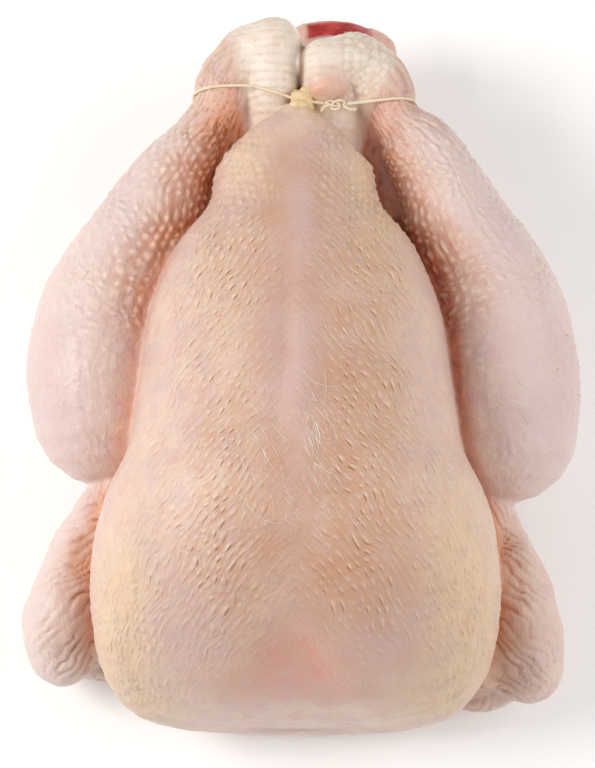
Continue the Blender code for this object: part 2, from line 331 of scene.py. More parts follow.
@dataclass
class Torso:
    """Breast, back and belly as one form over sections from the vent to the neck, in mm."""

    sections: tuple[tuple[float, ...], ...]
    middle: float = -2.0
    keel_width: float = 15.0
    narrowing: float = 0.30
    upper_power: tuple[float, float] = (0.92, 0.90)
    lower_power: tuple[float, float] = (0.80, 0.64)

    def rings(self, count: int = 110, sides: int = 128) -> np.ndarray:
        """The rings of points that the torso's skin runs over."""
        first, last = self.sections[0][0], self.sections[-1][0]
        turn = np.linspace(0, math.pi, count)
        at = (first + last) / 2 + (first - last) / 2 * np.cos(turn)
        rows = eased(self.sections, at)
        return np.array([self.ring(y, row, sides) for y, row in zip(at, rows)])

    def ring(self, y: float, row: np.ndarray, sides: int) -> np.ndarray:
        """One section: broad breast above, narrower back below, keel or valley on top."""
        half, crown, keel, level, back = row
        turn = np.linspace(0, 2 * math.pi, sides, endpoint=False)
        side, rise = np.cos(turn), np.sin(turn)
        above = rise > 0
        reach = np.abs(side) ** np.where(above, self.upper_power[0], self.lower_power[0])
        height = np.abs(rise) ** np.where(above, self.upper_power[1], self.lower_power[1])
        depth = np.where(above, 0.0, height)
        x = np.sign(side) * half * reach * (1 - self.narrowing * depth**1.6)
        z = np.where(above, level + (crown - level) * height, level - (level - back) * height)
        z = z + np.where(above, keel * bell(x, 0, self.keel_width) * height, 0)
        return np.stack([x + self.middle, np.full(sides, y), z], axis=1)

    def survey(self, points: np.ndarray) -> Surface:
        """Finds how far each point lies off the torso; along is y and turn the arc from the keel."""
        first, last = self.sections[0][0], self.sections[-1][0]
        y = np.clip(points[:, 1], last, first)
        half, crown, keel, level, back = eased(self.sections, y).T
        x = points[:, 0] - self.middle
        z = points[:, 2] - keel * bell(x, 0, self.keel_width)
        above = z > level
        rise = np.where(above, (z - level) / (crown - level), (level - z) / (level - back))
        rise = np.clip(rise, 0, 1.5)
        spread = half * np.where(above, 1.0, 1 - self.narrowing * np.clip(rise, 0, 1) ** 1.6)
        a = np.where(above, 2 / self.upper_power[0], 2 / self.lower_power[0])
        b = np.where(above, 2 / self.upper_power[1], 2 / self.lower_power[1])
        reach = np.sqrt(np.abs(x / spread) ** a + rise**b)
        least = np.minimum(half, (crown - back) / 2)
        past = np.abs(points[:, 1] - y) / least
        distance = (np.sqrt(reach**2 + past**2) - 1) * least
        arc = np.sign(x) * half * np.arctan2(np.abs(x) / spread, np.where(above, rise, -rise)) * 1.05
        return Surface(distance, points[:, 1], arc)


TORSO = Torso(
    sections=(
        (94.8, 4.0, 73.0, 0.0, 69.0, 65.0),
        (91.5, 7.5, 75.5, 0.0, 68.5, 62.0),
        (87.5, 14.0, 78.0, 0.3, 67.0, 57.0),
        (82.5, 19.5, 80.0, 0.5, 65.0, 44.0),
        (73.0, 27.5, 83.0, 1.0, 62.0, 22.0),
        (62.0, 29.2, 87.0, 1.5, 60.0, 10.0),
        (56.0, 32.5, 89.0, 1.8, 60.0, 6.0),
        (49.5, 38.0, 92.0, 2.1, 60.0, 4.0),
        (42.0, 43.0, 95.5, 2.4, 60.0, 2.0),
        (17.0, 51.5, 105.0, 2.6, 61.0, -1.0),
        (-8.0, 54.5, 112.0, 2.4, 61.0, -2.0),
        (-28.0, 58.0, 115.5, 1.6, 60.0, -2.0),
        (-44.0, 65.5, 117.0, 0.4, 58.0, -2.0),
        (-59.0, 69.5, 115.5, -1.0, 56.0, -2.0),
        (-76.0, 70.8, 110.0, -3.0, 53.0, -2.0),
        (-92.0, 69.5, 99.0, -5.0, 47.0, -1.5),
        (-103.0, 66.5, 85.5, -6.0, 42.0, -1.0),
        (-111.0, 61.0, 71.0, -5.0, 37.0, 0.0),
        (-117.0, 53.0, 56.0, -3.0, 32.0, 3.0),
        (-120.0, 41.0, 45.0, -1.0, 28.0, 10.0),
    )
)

# Each station: where it is, its half width and half height, in mm where the forms are drawn
LIMBS = (
    Limb("left_thigh", Kind.LEG, ((-34, 36, 30, 24, 22), (-50, 20, 32, 28, 26), (-67, -4, 37, 27.5, 28))),
    Limb(
        "left_drumstick",
        Kind.LEG,
        (
            (-68.5, -8, 38, 27, 28),
            (-69, 5, 40, 28.5, 29),
            (-67.5, 24, 43, 26.5, 27),
            (-62.5, 37, 46, 24, 24.5),
            (-54, 55, 50, 19.5, 20),
            (-46, 72, 55, 14.5, 15),
            (-34.2, 89, 58.5, 9.4, 10.5),
            (-29.5, 97, 60.5, 8.6, 9.2),
            (-27.5, 104.5, 61.5, 9.9, 10),
            (-18, 117, 63, 10.4, 10.8),
        ),
    ),
    Limb("left_hock", Kind.SHANK, ((-15.5, 117, 64, 10.6, 11), (-9.2, 119, 68, 9.8, 10))),
    Limb(
        "left_shank",
        Kind.SHANK,
        ((-9.4, 117, 68, 9.8, 9), (-10.2, 104, 64, 9.2, 8), (-11, 92, 55, 8.6, 7), (-12, 76, 46, 8, 6)),
    ),
    Limb(
        "left_ankle_web",
        Kind.LEG,
        ((-22, 99, 57, 5, 6), (-25, 88, 54, 6, 7), (-29, 74, 50, 8, 8), (-33, 60, 46, 9, 9)),
    ),
    Limb("left_flank", Kind.LEG, ((-38, 38, 36, 14, 16), (-31, 66, 36, 10, 12), (-25, 90, 34, 10, 10))),
    Limb("right_thigh", Kind.LEG, ((34, 32, 30, 24, 22), (52, 12, 32, 28, 26), (70, -13, 36, 28, 28))),
    Limb(
        "right_drumstick",
        Kind.LEG,
        (
            (70.5, -14, 37, 28, 28),
            (70.5, -2, 39, 29, 29),
            (70, 17, 42, 27, 27),
            (64, 38, 46, 23.8, 24.5),
            (57.5, 52, 50, 20, 20.5),
            (49.5, 70, 55, 15.5, 16),
            (41, 84, 58, 13.2, 12.5),
            (33, 94.8, 60.5, 8.2, 9),
            (31.3, 99.5, 61, 10.4, 9.8),
            (27.2, 106, 62, 11.6, 11),
            (20.5, 111.5, 63, 11.8, 11),
        ),
    ),
    Limb("right_hock", Kind.SHANK, ((19, 112, 65, 11.5, 11), (8, 111, 69, 9, 10))),
    Limb(
        "right_shank",
        Kind.SHANK,
        ((9, 109, 69, 9.5, 8.5), (10.5, 98, 63, 9, 7.5), (14, 87, 54, 7.5, 6.5), (15, 74, 46, 7, 6)),
    ),
    Limb(
        "right_ankle_web",
        Kind.LEG,
        ((21, 101, 56, 5, 5), (24, 91, 52, 6, 6), (27, 78, 48, 7, 7), (31, 64, 44, 8, 8)),
    ),
    Limb(
        "right_nub",
        Kind.LEG,
        ((6.5, 101, 71.5, 3.6, 3.4), (10, 101.4, 72.5, 4.2, 3.9), (13.5, 101, 71.5, 3.8, 3.4)),
    ),
    Limb("right_flank", Kind.LEG, ((40, 38, 34, 14, 16), (33, 66, 34, 11, 12), (27, 92, 34, 11, 10))),
    Limb(
        "left_upper_wing",
        Kind.WING,
        ((-50, -90, 34, 17, 18), (-58, -62, 33, 15, 16), (-62.5, -38, 33, 12.5, 13)),
    ),
    Limb(
        "left_forearm",
        Kind.WING,
        (
            (-64, -38, 31, 11.5, 12.5),
            (-76, -60, 27, 13.5, 14),
            (-84.6, -83, 23, 14, 15),
            (-84.5, -90.5, 20, 13, 13),
        ),
    ),
    Limb("left_web", Kind.WING, ((-58, -52, 27, 13, 8), (-67, -72, 22, 20, 11), (-67, -85, 19, 19, 12))),
    Limb("left_hand", Kind.WING, ((-83, -87, 14, 12, 9), (-68, -91, 11, 10, 8), (-48, -84, 9, 8, 6))),
    Limb(
        "right_upper_wing",
        Kind.WING,
        ((46, -92, 34, 17, 18), (56, -68, 33, 15, 16), (64, -44, 32, 11.5, 12)),
    ),
    Limb(
        "right_forearm",
        Kind.WING,
        ((68, -48, 30, 9.5, 10.5), (74, -66, 27, 13, 14), (79, -87, 23, 13.5, 15), (80, -97, 20, 13.5, 13)),
    ),
    Limb("right_web", Kind.WING, ((57, -58, 27, 12, 8), (63, -77, 22, 18, 11), (63, -94, 19, 18, 13))),
    Limb("right_hand", Kind.WING, ((75, -95, 14, 12, 9), (64, -101, 11, 11, 8), (44, -88, 9, 8, 6))),
    Limb(
        "belly_and_tail",
        Kind.BELLY,
        (
            (-2, 24, 36, 50, 30),
            (-1, 54, 32, 43, 25),
            (2, 84, 27, 38, 20),
            (6, 102, 25, 32, 17),
            (10, 116, 28, 25, 14),
            (14, 124, 33, 22, 11),
            (15, 131.5, 36, 20.5, 8),
        ),
        sides=72,
    ),
    Limb(
        "neck_skin",
        Kind.TORSO,
        ((-32, -108, 20, 8, 13), (-15, -112, 21, 9, 17), (11, -112, 21, 9, 17), (28, -108, 20, 8, 13)),
    ),
)
DRUMSTICKS = ("left_drumstick", "right_drumstick")


def shell(rings: np.ndarray, verts: list, faces: list) -> None:
    """Adds a closed skin over rings of points to the lists of vertices and faces."""
    start = len(verts)
    count, sides = rings.shape[:2]
    verts.extend(map(tuple, rings.reshape(-1, 3)))
    verts.append(tuple(rings[0].mean(axis=0)))
    verts.append(tuple(rings[-1].mean(axis=0)))
    first, last = len(verts) - 2, len(verts) - 1
    for r in range(count - 1):
        for i in range(sides):
            j = (i + 1) % sides
            a, b = start + r * sides, start + (r + 1) * sides
            faces.append((a + i, a + j, b + j, b + i))
    for i in range(sides):
        j = (i + 1) % sides
        end = start + (count - 1) * sides
        faces.append((first, start + j, start + i))
        faces.append((last, end + i, end + j))


def evaluated(obj: bpy.types.Object) -> bpy.types.Mesh:
    """The object's mesh with its modifiers applied."""
    graph = bpy.context.evaluated_depsgraph_get()
    return bpy.data.meshes.new_from_object(obj.evaluated_get(graph), depsgraph=graph)


def apply_modifiers(obj: bpy.types.Object) -> None:
    """Turns what the modifiers make into the object's own mesh."""
    made = evaluated(obj)
    obj.modifiers.clear()
    obj.data = made


def places(mesh: bpy.types.Mesh) -> np.ndarray:
    """The mesh's vertices, in mm where the forms are drawn."""
    flat = np.empty(len(mesh.vertices) * 3, np.float32)
    mesh.vertices.foreach_get("co", flat)
    return flat.reshape(-1, 3).astype(float)


def normals(mesh: bpy.types.Mesh) -> np.ndarray:
    """The mesh's vertex normals."""
    flat = np.empty(len(mesh.vertices) * 3, np.float32)
    mesh.vertex_normals.foreach_get("vector", flat)
    return flat.reshape(-1, 3).astype(float)


@dataclass
class Skin:
    """The relief and the tints of the skin at a set of points on the bird."""

    points: np.ndarray
    blend: float = 1.3
    weight: dict[str, np.ndarray] = field(init=False)
    surface: dict[str, Surface] = field(init=False)
    body: np.ndarray = field(init=False)
    leg: np.ndarray = field(init=False)
    wing: np.ndarray = field(init=False)
    gap: np.ndarray = field(init=False)  # from the torso, in mm
    arc: np.ndarray = field(init=False)  # from the keel round the torso, in mm
    blot: np.ndarray = field(init=False)

    def __post_init__(self) -> None:
        found = {"torso": TORSO.survey(self.points)}
        for limb in LIMBS:
            found[limb.name] = limb.survey(self.points)
        distance = np.stack([s.distance for s in found.values()])
        distance = distance - distance.min(axis=0)
        share = np.exp(-distance / self.blend)
        share /= share.sum(axis=0)
        self.surface = found
        self.weight = dict(zip(found, share))
        self.body, self.leg, self.wing = self.weight["torso"], self.kind(Kind.LEG), self.kind(Kind.WING)
        self.gap = found["torso"].distance
        self.arc = np.abs(found["torso"].turn)
        self.blot = noise(self.points, 12, 21)

    def kind(self, kind: Kind) -> np.ndarray:
        """How far each point belongs to forms of this kind."""
        total = sum(self.weight[limb.name] for limb in LIMBS if limb.kind is kind)
        return total + self.weight["torso"] if kind is Kind.TORSO else total

    def spot(self, x: float, y: float, z: float, across: float, along: float, up: float = 40.0) -> np.ndarray:
        """A soft patch about a place, in mm."""
        off = (self.points - (x, y, z)) / (across, along, up)
        return np.exp(-(off**2).sum(axis=1))

    @cached_property
    def lattice(self) -> tuple[np.ndarray, np.ndarray, np.ndarray]:
        """The skin's feather lattices: place along and across the rows, and how strong they are."""
        p = self.points
        warp = [1.1 * noise(p, 13, 3 + k) + 0.26 * noise(p, 5.2, 5 + k) for k in (0, 1)]
        u = np.zeros(len(p))
        v = np.zeros(len(p))
        strength = np.zeros(len(p))
        for limb in LIMBS:
            if limb.kind not in (Kind.LEG, Kind.WING):
                continue
            mine = self.weight[limb.name] > 0.5
            here = self.surface[limb.name]
            girth = 2 * math.pi * limb.rows[:, 3:5].mean()
            around = round(girth / (2 * GIRTH_STEP)) * 2
            u = np.where(mine, here.along / ROW_STEP, u)
            v = np.where(mine, here.turn / (2 * math.pi) * around, v)
            parted = smooth(math.pi, math.pi - 0.35, np.abs(here.turn))
            strength = np.where(mine, smooth(0.5, 0.85, self.weight[limb.name]) * parted, strength)
        mine, along = self.body > 0.5, self.surface["torso"].along
        major, minor = BREAST_LEAN
        u = np.where(mine, (major * along - minor * self.arc) / BREAST_STEPS[0], u)
        v = np.where(mine, (minor * along + major * self.arc) / BREAST_STEPS[1], v)
        strength = np.where(mine, smooth(0.5, 0.85, self.body), strength)
        return u + warp[0], v + warp[1], strength

    def masks(self) -> dict[str, np.ndarray]:
        """Where each tint and each sort of relief shows, from 0 to 1.

        The pairs of numbers in these methods are places where the forms are drawn, in mm: where a
        share starts and where it is whole.
        """
        shares = {**self.blushes(), **self.creases(), **self.marks(), **self.ends(), "scale": self.scaly}
        shares = {name: np.clip(share, 0, 1) for name, share in shares.items()}
        for name in ("crease_shade", "deep"):
            shares[name] = shares[name] * (1 - self.scaly)
        return shares

    def patchy_wing_shade(self) -> np.ndarray:
        """Patchy brown painted shade on the inner half of the wings, near the body."""
        patchy = smooth(-0.4, 0.3, noise(self.points, 8, 65))
        return self.arm() * smooth(24, 5, self.gap) * patchy * smooth(8, 20, self.points[:, 2])

    def arm(self) -> np.ndarray:
        """The wings without their elbows, which lie nearest the neck."""
        return self.wing * smooth(-99, -86, self.points[:, 1])

    def blushes(self) -> dict[str, np.ndarray]:
        """The broad soft tints: yellow fat, lilac, pink, tan that is partly painted shade, and the pale outer
        sides.
        """
        p, body, leg, wing, gap = self.points, self.body, self.leg, self.wing, self.gap
        x, y, z = p.T
        fat = sum(self.spot(*spot) for spot in FAT_SPOTS) * (0.75 + 0.5 * self.blot)
        lilac = sum(self.spot(*spot) for spot in LILAC_SPOTS) * (0.85 + 0.4 * noise(p, 16, 26))
        flush = sum(self.spot(*spot) for spot in FLUSH_SPOTS) * (0.9 + 0.3 * noise(p, 9, 22))
        half, off = self.wishbone()
        inside = half - np.abs(off) + 4 * noise(p, 9, 64)
        hollow = body * smooth(-9, 11, inside) * smooth(-86, -100, y) * smooth(48, 74, z)
        flush = (flush + hollow * (0.85 + 0.5 * noise(p, 6, 63))) * (1 - 0.6 * self.weight["right_nub"])
        # strip and low tan the middle of the breast and the neck end: partly the skin's own tone, partly
        # painted shade
        strip = bell(x, -1, 20) * smooth(-84, -50, y) * smooth(92, 70, y)
        right_tract = bell(self.surface["torso"].turn, 30, 17) * smooth(-110, -80, y) * smooth(80, 50, y)
        low = bell(x, 8, 46) * smooth(-124, -112, y) * smooth(-50, -75, y)
        cloudy = 0.85 + 0.5 * self.blot
        tan = body * smooth(50, 66, z) * (0.95 * strip + 0.45 * right_tract + 0.8 * low) * cloudy
        # keel_tip: a tan patch at the keel's end, and painted shade along the furrow beside the keel
        keel_tip = 0.9 * self.spot(-4, -47, 117, 5, 9, 12) + 0.5 * self.spot(-10, 2, 110, 4.5, 24, 14)
        # painted shade: tan on the wings near the body, stronger on the right, away from the key light
        inner_wing_shade = np.where(x < 0, 0.4, 0.9) * wing * smooth(24, 4, gap) * (0.8 + 0.5 * self.blot)
        tan = tan + body * keel_tip + inner_wing_shade + 0.6 * self.patchy_wing_shade()
        outer = leg * smooth(5, 30, gap) * smooth(96, 84, y) + wing * smooth(2, 12, gap) * smooth(170, -60, x)
        return {"fat": fat, "lilac": lilac, "flush": flush, "tan": tan, "outer": outer}

    def creases(self) -> dict[str, np.ndarray]:
        """Painted shade: orange in the creases between the forms, and dark red in the deepest of them."""
        x, y, z = self.points.T
        leg, gap, blot = self.leg, self.gap, self.blot
        near = leg * smooth(11, 1, gap) + 0.5 * self.arm() * smooth(18, 2, gap)
        crease_shade = near * smooth(0, 25, z) * (0.55 + 0.4 * blot) + 0.15 * self.patchy_wing_shade()
        inner_leg = leg * smooth(8, 50, y) * smooth(20, 40, z)
        crease_shade = crease_shade + inner_leg * smooth(30, 3, gap) * (0.6 + 0.5 * blot)
        crease_shade = crease_shade + 1.2 * leg * self.spot(-26, 90, 60, 9, 14, 14)
        crease_shade = crease_shade + 0.5 * leg * self.spot(24, 90, 56, 8, 14, 12)
        inner_half = np.where(x < 0, smooth(-76, -70, x), smooth(72, 66, x))
        wing_crease = self.arm() * inner_half * smooth(-34, -50, y)
        crease_shade = crease_shade + np.where(x < 0, 0.35, 0.6) * wing_crease * smooth(12, 24, z)
        # under: painted shade on the belly and flanks seen between the legs and the body
        under = (self.kind(Kind.BELLY) + self.flank()) * smooth(112, 100, y) * smooth(20, 50, y)
        under = under * smooth(30, 42, z) * smooth(52, 38, np.abs(x))
        near_deep = (leg + self.wing) * smooth(9, 1.5, gap) * smooth(-100, 20, y)
        # deep: dark red painted shade in the deepest creases, mostly on the right, away from the key light
        deep = smooth(-14, 26, x) * (near_deep + under)
        deep = deep + 0.7 * smooth(-10, 20, x) * leg * self.spot(24, 86, 52, 6, 13, 12)
        return {"crease_shade": crease_shade + under, "deep": deep}

    def marks(self) -> dict[str, np.ndarray]:
        """Where follicles stand up as bumps, and where they lie as slanting marks."""
        p, leg, arc = self.points, self.leg, self.arc
        x, y, z = p.T
        leg_along = np.maximum(
            *(smooth(12, 60, self.surface[name].along) * self.weight[name] for name in DRUMSTICKS)
        )
        bumps = (leg_along * (0.5 + 0.6 * smooth(46, 0.5, self.gap)) + 0.3 * leg) * smooth(96, 82, y)
        upper = 0.85 * smooth(15, 55, y) * smooth(3, 12, arc) * smooth(-110, 30, x)
        upper = upper + 0.4 * smooth(38, 56, arc) * smooth(-50, -80, y)
        neck = 0.3 * smooth(-104, -112, y) * smooth(10, 30, np.abs(x + 4))
        bumps = bumps + 0.15 * self.wing + self.body * (upper * smooth(40, 62, z) + neck)
        bumps = bumps * (1 - self.scaly) * smooth(5, 30, z) * (0.8 + 0.7 * noise(p, 12, 24))
        tract = bell(arc, 26, 17) * smooth(-118, -80, y) * smooth(66, 26, y)
        dashes = self.body * (1.3 * tract + 0.25 * smooth(38, 55, arc)) * smooth(30, 60, z)
        return {"bumps": bumps, "dashes": dashes * (0.85 + 0.7 * noise(p, 15, 23))}

    def ends(self) -> dict[str, np.ndarray]:
        """The raw cut of the tail, and the painted shade in the parting between the hocks."""
        x, y, z = self.points.T
        edge = 1.2 * noise(self.points, 3.5, 27)
        raw = self.kind(Kind.BELLY) * smooth(1.5, 4, x + edge) * smooth(27, 24.5, x + edge)
        raw = raw * smooth(35, 39, z)
        raw = raw * smooth(130.5, 132, y + 0.5 * edge) * smooth(138.5, 137, y + 0.5 * edge)
        parting = np.interp(y, (95, 112, 124), (-0.8, 0.4, 1.6))
        seam = (1 - self.body) * smooth(1.7, 0.4, np.abs(x - parting)) * smooth(92, 96, y)
        seam = seam * smooth(78, 72, z) * smooth(52, 57, z) * smooth(123, 119, y)
        return {"raw": raw, "seam": seam}

    def flank(self) -> np.ndarray:
        """How far each point belongs to the skin stretched between the thighs and the back."""
        return self.weight["left_flank"] + self.weight["right_flank"]

    def wishbone(self) -> tuple[np.ndarray, np.ndarray]:
        """The half width of the wishbone's V at each point, and how far the point lies off the keel."""
        x, y = self.points[:, 0], self.points[:, 1]
        keel = np.interp(y, (-90, -45, 0, 90), (-3.7, -3.0, 0.9, 1.1))
        return np.interp(-y, (84, 120), (0, 27)), x - keel

    @cached_property
    def scaly(self) -> np.ndarray:
        """Where the white scaly skin of the shanks and hocks shows."""
        x, y, z = self.points.T
        wavy = 1.2 * noise(self.points, 6, 31)
        left_edge = np.interp(y, (86, 100, 118), (-19, -20, -24))
        right_edge = np.interp(y, (90, 100, 112), (22, 28, 34))
        left = smooth(-3.0, 2.0, x - left_edge + wavy) * smooth(3, 0, x)
        right = smooth(2.0, -2.0, x - right_edge + wavy) * smooth(-2, 0, x)
        end = smooth(80, 84, y) * smooth(47, 52, z)
        owner = self.kind(Kind.SHANK) + sum(self.weight[name] for name in DRUMSTICKS)
        return np.clip(owner, 0, 1) * np.clip(left + right, 0, 1) * end

    def relief(self) -> tuple[np.ndarray, np.ndarray]:
        """The skin's relief.

        Returns:
            How far the skin stands off the plain forms, in mm, and how deep in a wrinkle each
            point lies, from 0 to 1.
        """
        p, mask = self.points, self.masks()
        y, z = p[:, 1], p[:, 2]
        height = HEIGHTS.sag * noise(p, 34, 41) + HEIGHTS.unevenness * noise(p, 5, 42, 3)
        follicles, pores = self.follicles(mask)
        comb, grooves = self.comb()
        wrinkles, lines = self.wrinkles(mask)
        folds, gullies = self.wing_folds()
        height += follicles + comb + self.keel_line() + wrinkles + folds
        near, _ = lumps(p, 6.0, 43)
        finer, _ = lumps(p, 3.2, 59)
        lobes = HEIGHTS.fat_lobe * (0.55 - near) + HEIGHTS.fat_grain * (0.55 - finer)
        height += np.clip(mask["fat"], 0, 0.8) * lobes * self.body
        scales, seams = self.scales()
        height += mask["scale"] * scales
        # Outside the scales, the material paints these hollows brown as painted shade; on the scales they are
        # the seams between plates and cobbles.
        hollow = (lines + 0.8 * grooves + pores + gullies) * (1 - mask["scale"]) + mask["scale"] * seams
        rim = self.body * smooth(52, 74, y) * smooth(50, 58, z) * smooth(24, 10, z - 56)
        height += rim * HEIGHTS.flap_edge * (noise(p, 5.5, 46) + noise(p, 10, 48))
        crumb, _ = lumps(p, 2.6, 49)
        height += self.spot(1, 95, 75, 7, 6, 7) * HEIGHTS.crumb * (0.6 - crumb)
        height -= mask["raw"] * (HEIGHTS.raw_cut - HEIGHTS.raw_grain * noise(p, 3, 50))
        return height * smooth(-1.0, 6.0, z), np.clip(hollow, 0, 1)

    def follicles(self, mask: dict[str, np.ndarray]) -> tuple[np.ndarray, np.ndarray]:
        """The bumps and slanting ridges of the feather lattice.

        Args:
            mask: where each sort of relief shows.

        Returns:
            Their height in mm, and how deep between the legs' bumps each point lies.
        """
        u, v, strength = self.lattice
        du, dv, chance = staggered(u, v)
        size = 0.35 + 0.65 * chance
        bumps = smooth(1.0, 0.0, np.hypot(du, dv)) * size * strength * mask["bumps"]
        ridge = smooth(1.0, 0.0, np.hypot(du / RIDGE_SIZE[0], (dv - RIDGE_OFF) / RIDGE_SIZE[1]))
        height = HEIGHTS.leg_bump * bumps + HEIGHTS.mark * ridge * size * strength * mask["dashes"]
        # between: where brown painted shade goes between the legs' bumps, near the body
        between = smooth(0.75, 1.15, np.hypot(du, dv)) * smooth(34, 10, self.gap)
        return height, 0.8 * self.leg * strength * mask["bumps"] * between

    def comb(self) -> tuple[np.ndarray, np.ndarray]:
        """The broken ridges along the low left of the breast, and how deep between them each point is."""
        p = self.points
        x, y = p[:, 0], p[:, 1]
        u, v, _ = self.lattice
        low = self.body * bell(self.arc, 28, 14) * smooth(-112, -96, y) * smooth(-30, -55, y)
        low = low * smooth(20, -20, x)
        broken = smooth(-0.1, 0.4, noise(np.stack([0.35 * u, v, 0 * u], axis=1), 1.0, 57))
        comb = np.abs(np.sin(math.pi * (v + 0.25 * noise(p, 7, 60))))
        height = HEIGHTS.comb * low * broken * (np.sqrt(comb) - 0.7)
        return height, 0.7 * low * broken * smooth(0.4, 0.0, comb)

    def wrinkles(self, mask: dict[str, np.ndarray]) -> tuple[np.ndarray, np.ndarray]:
        """The wrinkles that run along the legs, most of all at the ankles.

        Args:
            mask: where each sort of relief shows.

        Returns:
            Their height in mm, and how deep in one each point lies.
        """
        y = self.points[:, 1]
        u, v, strength = self.lattice
        inner = smooth(32, 5, self.gap) * smooth(10, 50, y)
        share = np.clip(0.75 * smooth(72, 90, y) + 0.45 * inner + 0.08, 0, 1)
        share = strength * self.leg * (1 - self.weight["right_nub"]) * (1 - mask["scale"]) * share
        line = np.abs(noise(np.stack([0.4 * u, 1.5 * v, 0 * u], axis=1), 1.0, 45))
        return HEIGHTS.wrinkle * share * (np.minimum(1, 2.6 * line) - 0.6), share * smooth(0.22, 0.02, line)

    def wing_folds(self) -> tuple[np.ndarray, np.ndarray]:
        """The slanting folds of the wings' loose skin, and how deep in one each point lies."""
        p, wing = self.points, self.wing
        x, z = p[:, 0], p[:, 2]
        u, v, _ = self.lattice
        past = -2.8 * v + np.where(x < 0, 2.6, -2.6) * u + 2.5 * noise(p, 9, 54) + 1.0 * noise(p, 3.5, 58)
        fold = np.abs(np.sin(math.pi * past / FOLD_WIDTH))
        small, _ = lumps(p, 4.2, 55)
        inside = 0.3 + 0.7 * smooth(30, 8, self.gap)
        shown = wing * smooth(3, 12, z) * inside * np.clip(0.7 + 1.0 * noise(p, 7, 56), 0.1, 1.2)
        height = shown * (HEIGHTS.wing_fold * (fold**0.6 - 0.6) + HEIGHTS.wing_grain * (0.5 - small))
        height += wing * HEIGHTS.wing_sag * noise(p, 14, 47)
        return height, shown * smooth(0.7, 0.05, fold) * smooth(36, 8, self.gap)

    def keel_line(self) -> np.ndarray:
        """The keel's low ridge, the furrow beside it and the hollow of the wishbone."""
        y, z = self.points[:, 1], self.points[:, 2]
        half, off = self.wishbone()
        wave = 2.2 * noise(self.points, 16, 53)
        ridge = HEIGHTS.keel * bell(off + 0.5 * wave, 1, 4.5) * smooth(-42, -15, y) * smooth(97, 86, y)
        furrow = HEIGHTS.furrow * bell(off + 0.4 * wave, -6, 3.6) * smooth(-42, -25, y) * smooth(45, 20, y)
        inside = half - np.abs(off) + wave
        hollow = HEIGHTS.wishbone * smooth(-7, 9, inside) * smooth(-86, -102, y)
        bone = HEIGHTS.bone * bell(inside, 0, 5.0) * smooth(-86, -98, y)
        return self.body * (smooth(60, 72, z) * (ridge - furrow) + smooth(30, 50, z) * (bone - hollow))

    def scales(self) -> tuple[np.ndarray, np.ndarray]:
        """Plates across the front of the shanks and cobbles on the outside of the hocks.

        Returns:
            Their height in mm, and how deep in a seam each point lies, from 0 to 1.
        """
        x, y, _ = self.points.T
        run = (y - 80) * 0.9 + 1.0 * noise(self.points, 9, 51)
        plate = np.abs(np.sin(math.pi * run / PLATE_STEP))
        _, seam = lumps(self.points, COBBLE_SIZE, 52)
        cobble = smooth(0.0, 0.35, seam)
        front = np.where(x < 0, 1.0, smooth(17, 11, x + 2 * noise(self.points, 6, 61)))
        front = np.maximum(front, smooth(98, 94, y))
        worn = 0.4 + 0.6 * smooth(-0.4, 0.4, noise(self.points, 8, 62))
        height = HEIGHTS.plate * front * worn * plate**0.6 + HEIGHTS.cobble * (1 - front) * cobble - 0.2
        lines = 0.6 * front * worn * smooth(0.32, 0.0, plate)
        return height, lines + (1 - front) * 0.5 * smooth(0.22, 0.0, seam)


# Tinted places on the skin where the forms are drawn: their middles, and how far they reach across,
# along and up, in mm
FAT_SPOTS = (
    (-64, -95, 66, 12, 24, 30),
    (-56, -84, 86, 9, 30, 26),
    (-54, -113, 46, 16, 12, 26),
    (60, -92, 68, 15, 26, 30),
    (52, -74, 92, 12, 32, 28),
    (46, -114, 54, 18, 12, 26),
    (30, 48, 92, 10, 30, 20),
    (-20, 74, 80, 8, 14, 14),
    (22, 70, 82, 9, 20, 16),
    (1, 94, 75, 6, 6, 9),
    (1, 94, 75, 5, 5, 8),
)
LILAC_SPOTS = (
    (-84, -4, 55, 26, 30, 34),
    (84, -4, 55, 26, 34, 34),
    (1, 40, 96, 5, 44, 18),
    (0, -20, 116, 8, 40, 16),
    # painted shade: greys the furrow beside the keel
    (-10, -2, 110, 5, 28, 16),
    (-38, -88, 92, 16, 22, 22),
    (28, -96, 88, 14, 16, 22),
    (0, -112, 64, 12, 10, 18),
    (-62, 60, 50, 12, 30, 24),
    (66, 52, 52, 12, 30, 24),
)
FLUSH_SPOTS = (
    (10, 101, 74, 6, 4.5, 6),
    (32, 96, 62, 7, 8, 12),
    (14, 130, 34, 24, 14, 14),
)


# What the mesh stores for the skin's material: each colour attribute and its channels
STORED = {
    "tint_a": ("fat", "lilac", "flush", "tan"),
    # the first, second and fourth channels of tint_b carry painted shade in the creases and hollows
    "tint_b": ("crease_shade", "deep", "raw", "hollow"),
    "tint_c": ("seam", "outer", "whole"),
    "relief": ("bumps", "dashes", "scale"),
}


def srgb(red: int, green: int, blue: int) -> tuple[float, float, float, float]:
    """A colour as a screen shows it, turned into the linear one that a shader takes."""
    parts = [v / 255 for v in (red, green, blue)]
    linear = [v / 12.92 if v <= 0.04045 else ((v + 0.055) / 1.055) ** 2.4 for v in parts]
    return (*linear, 1.0)


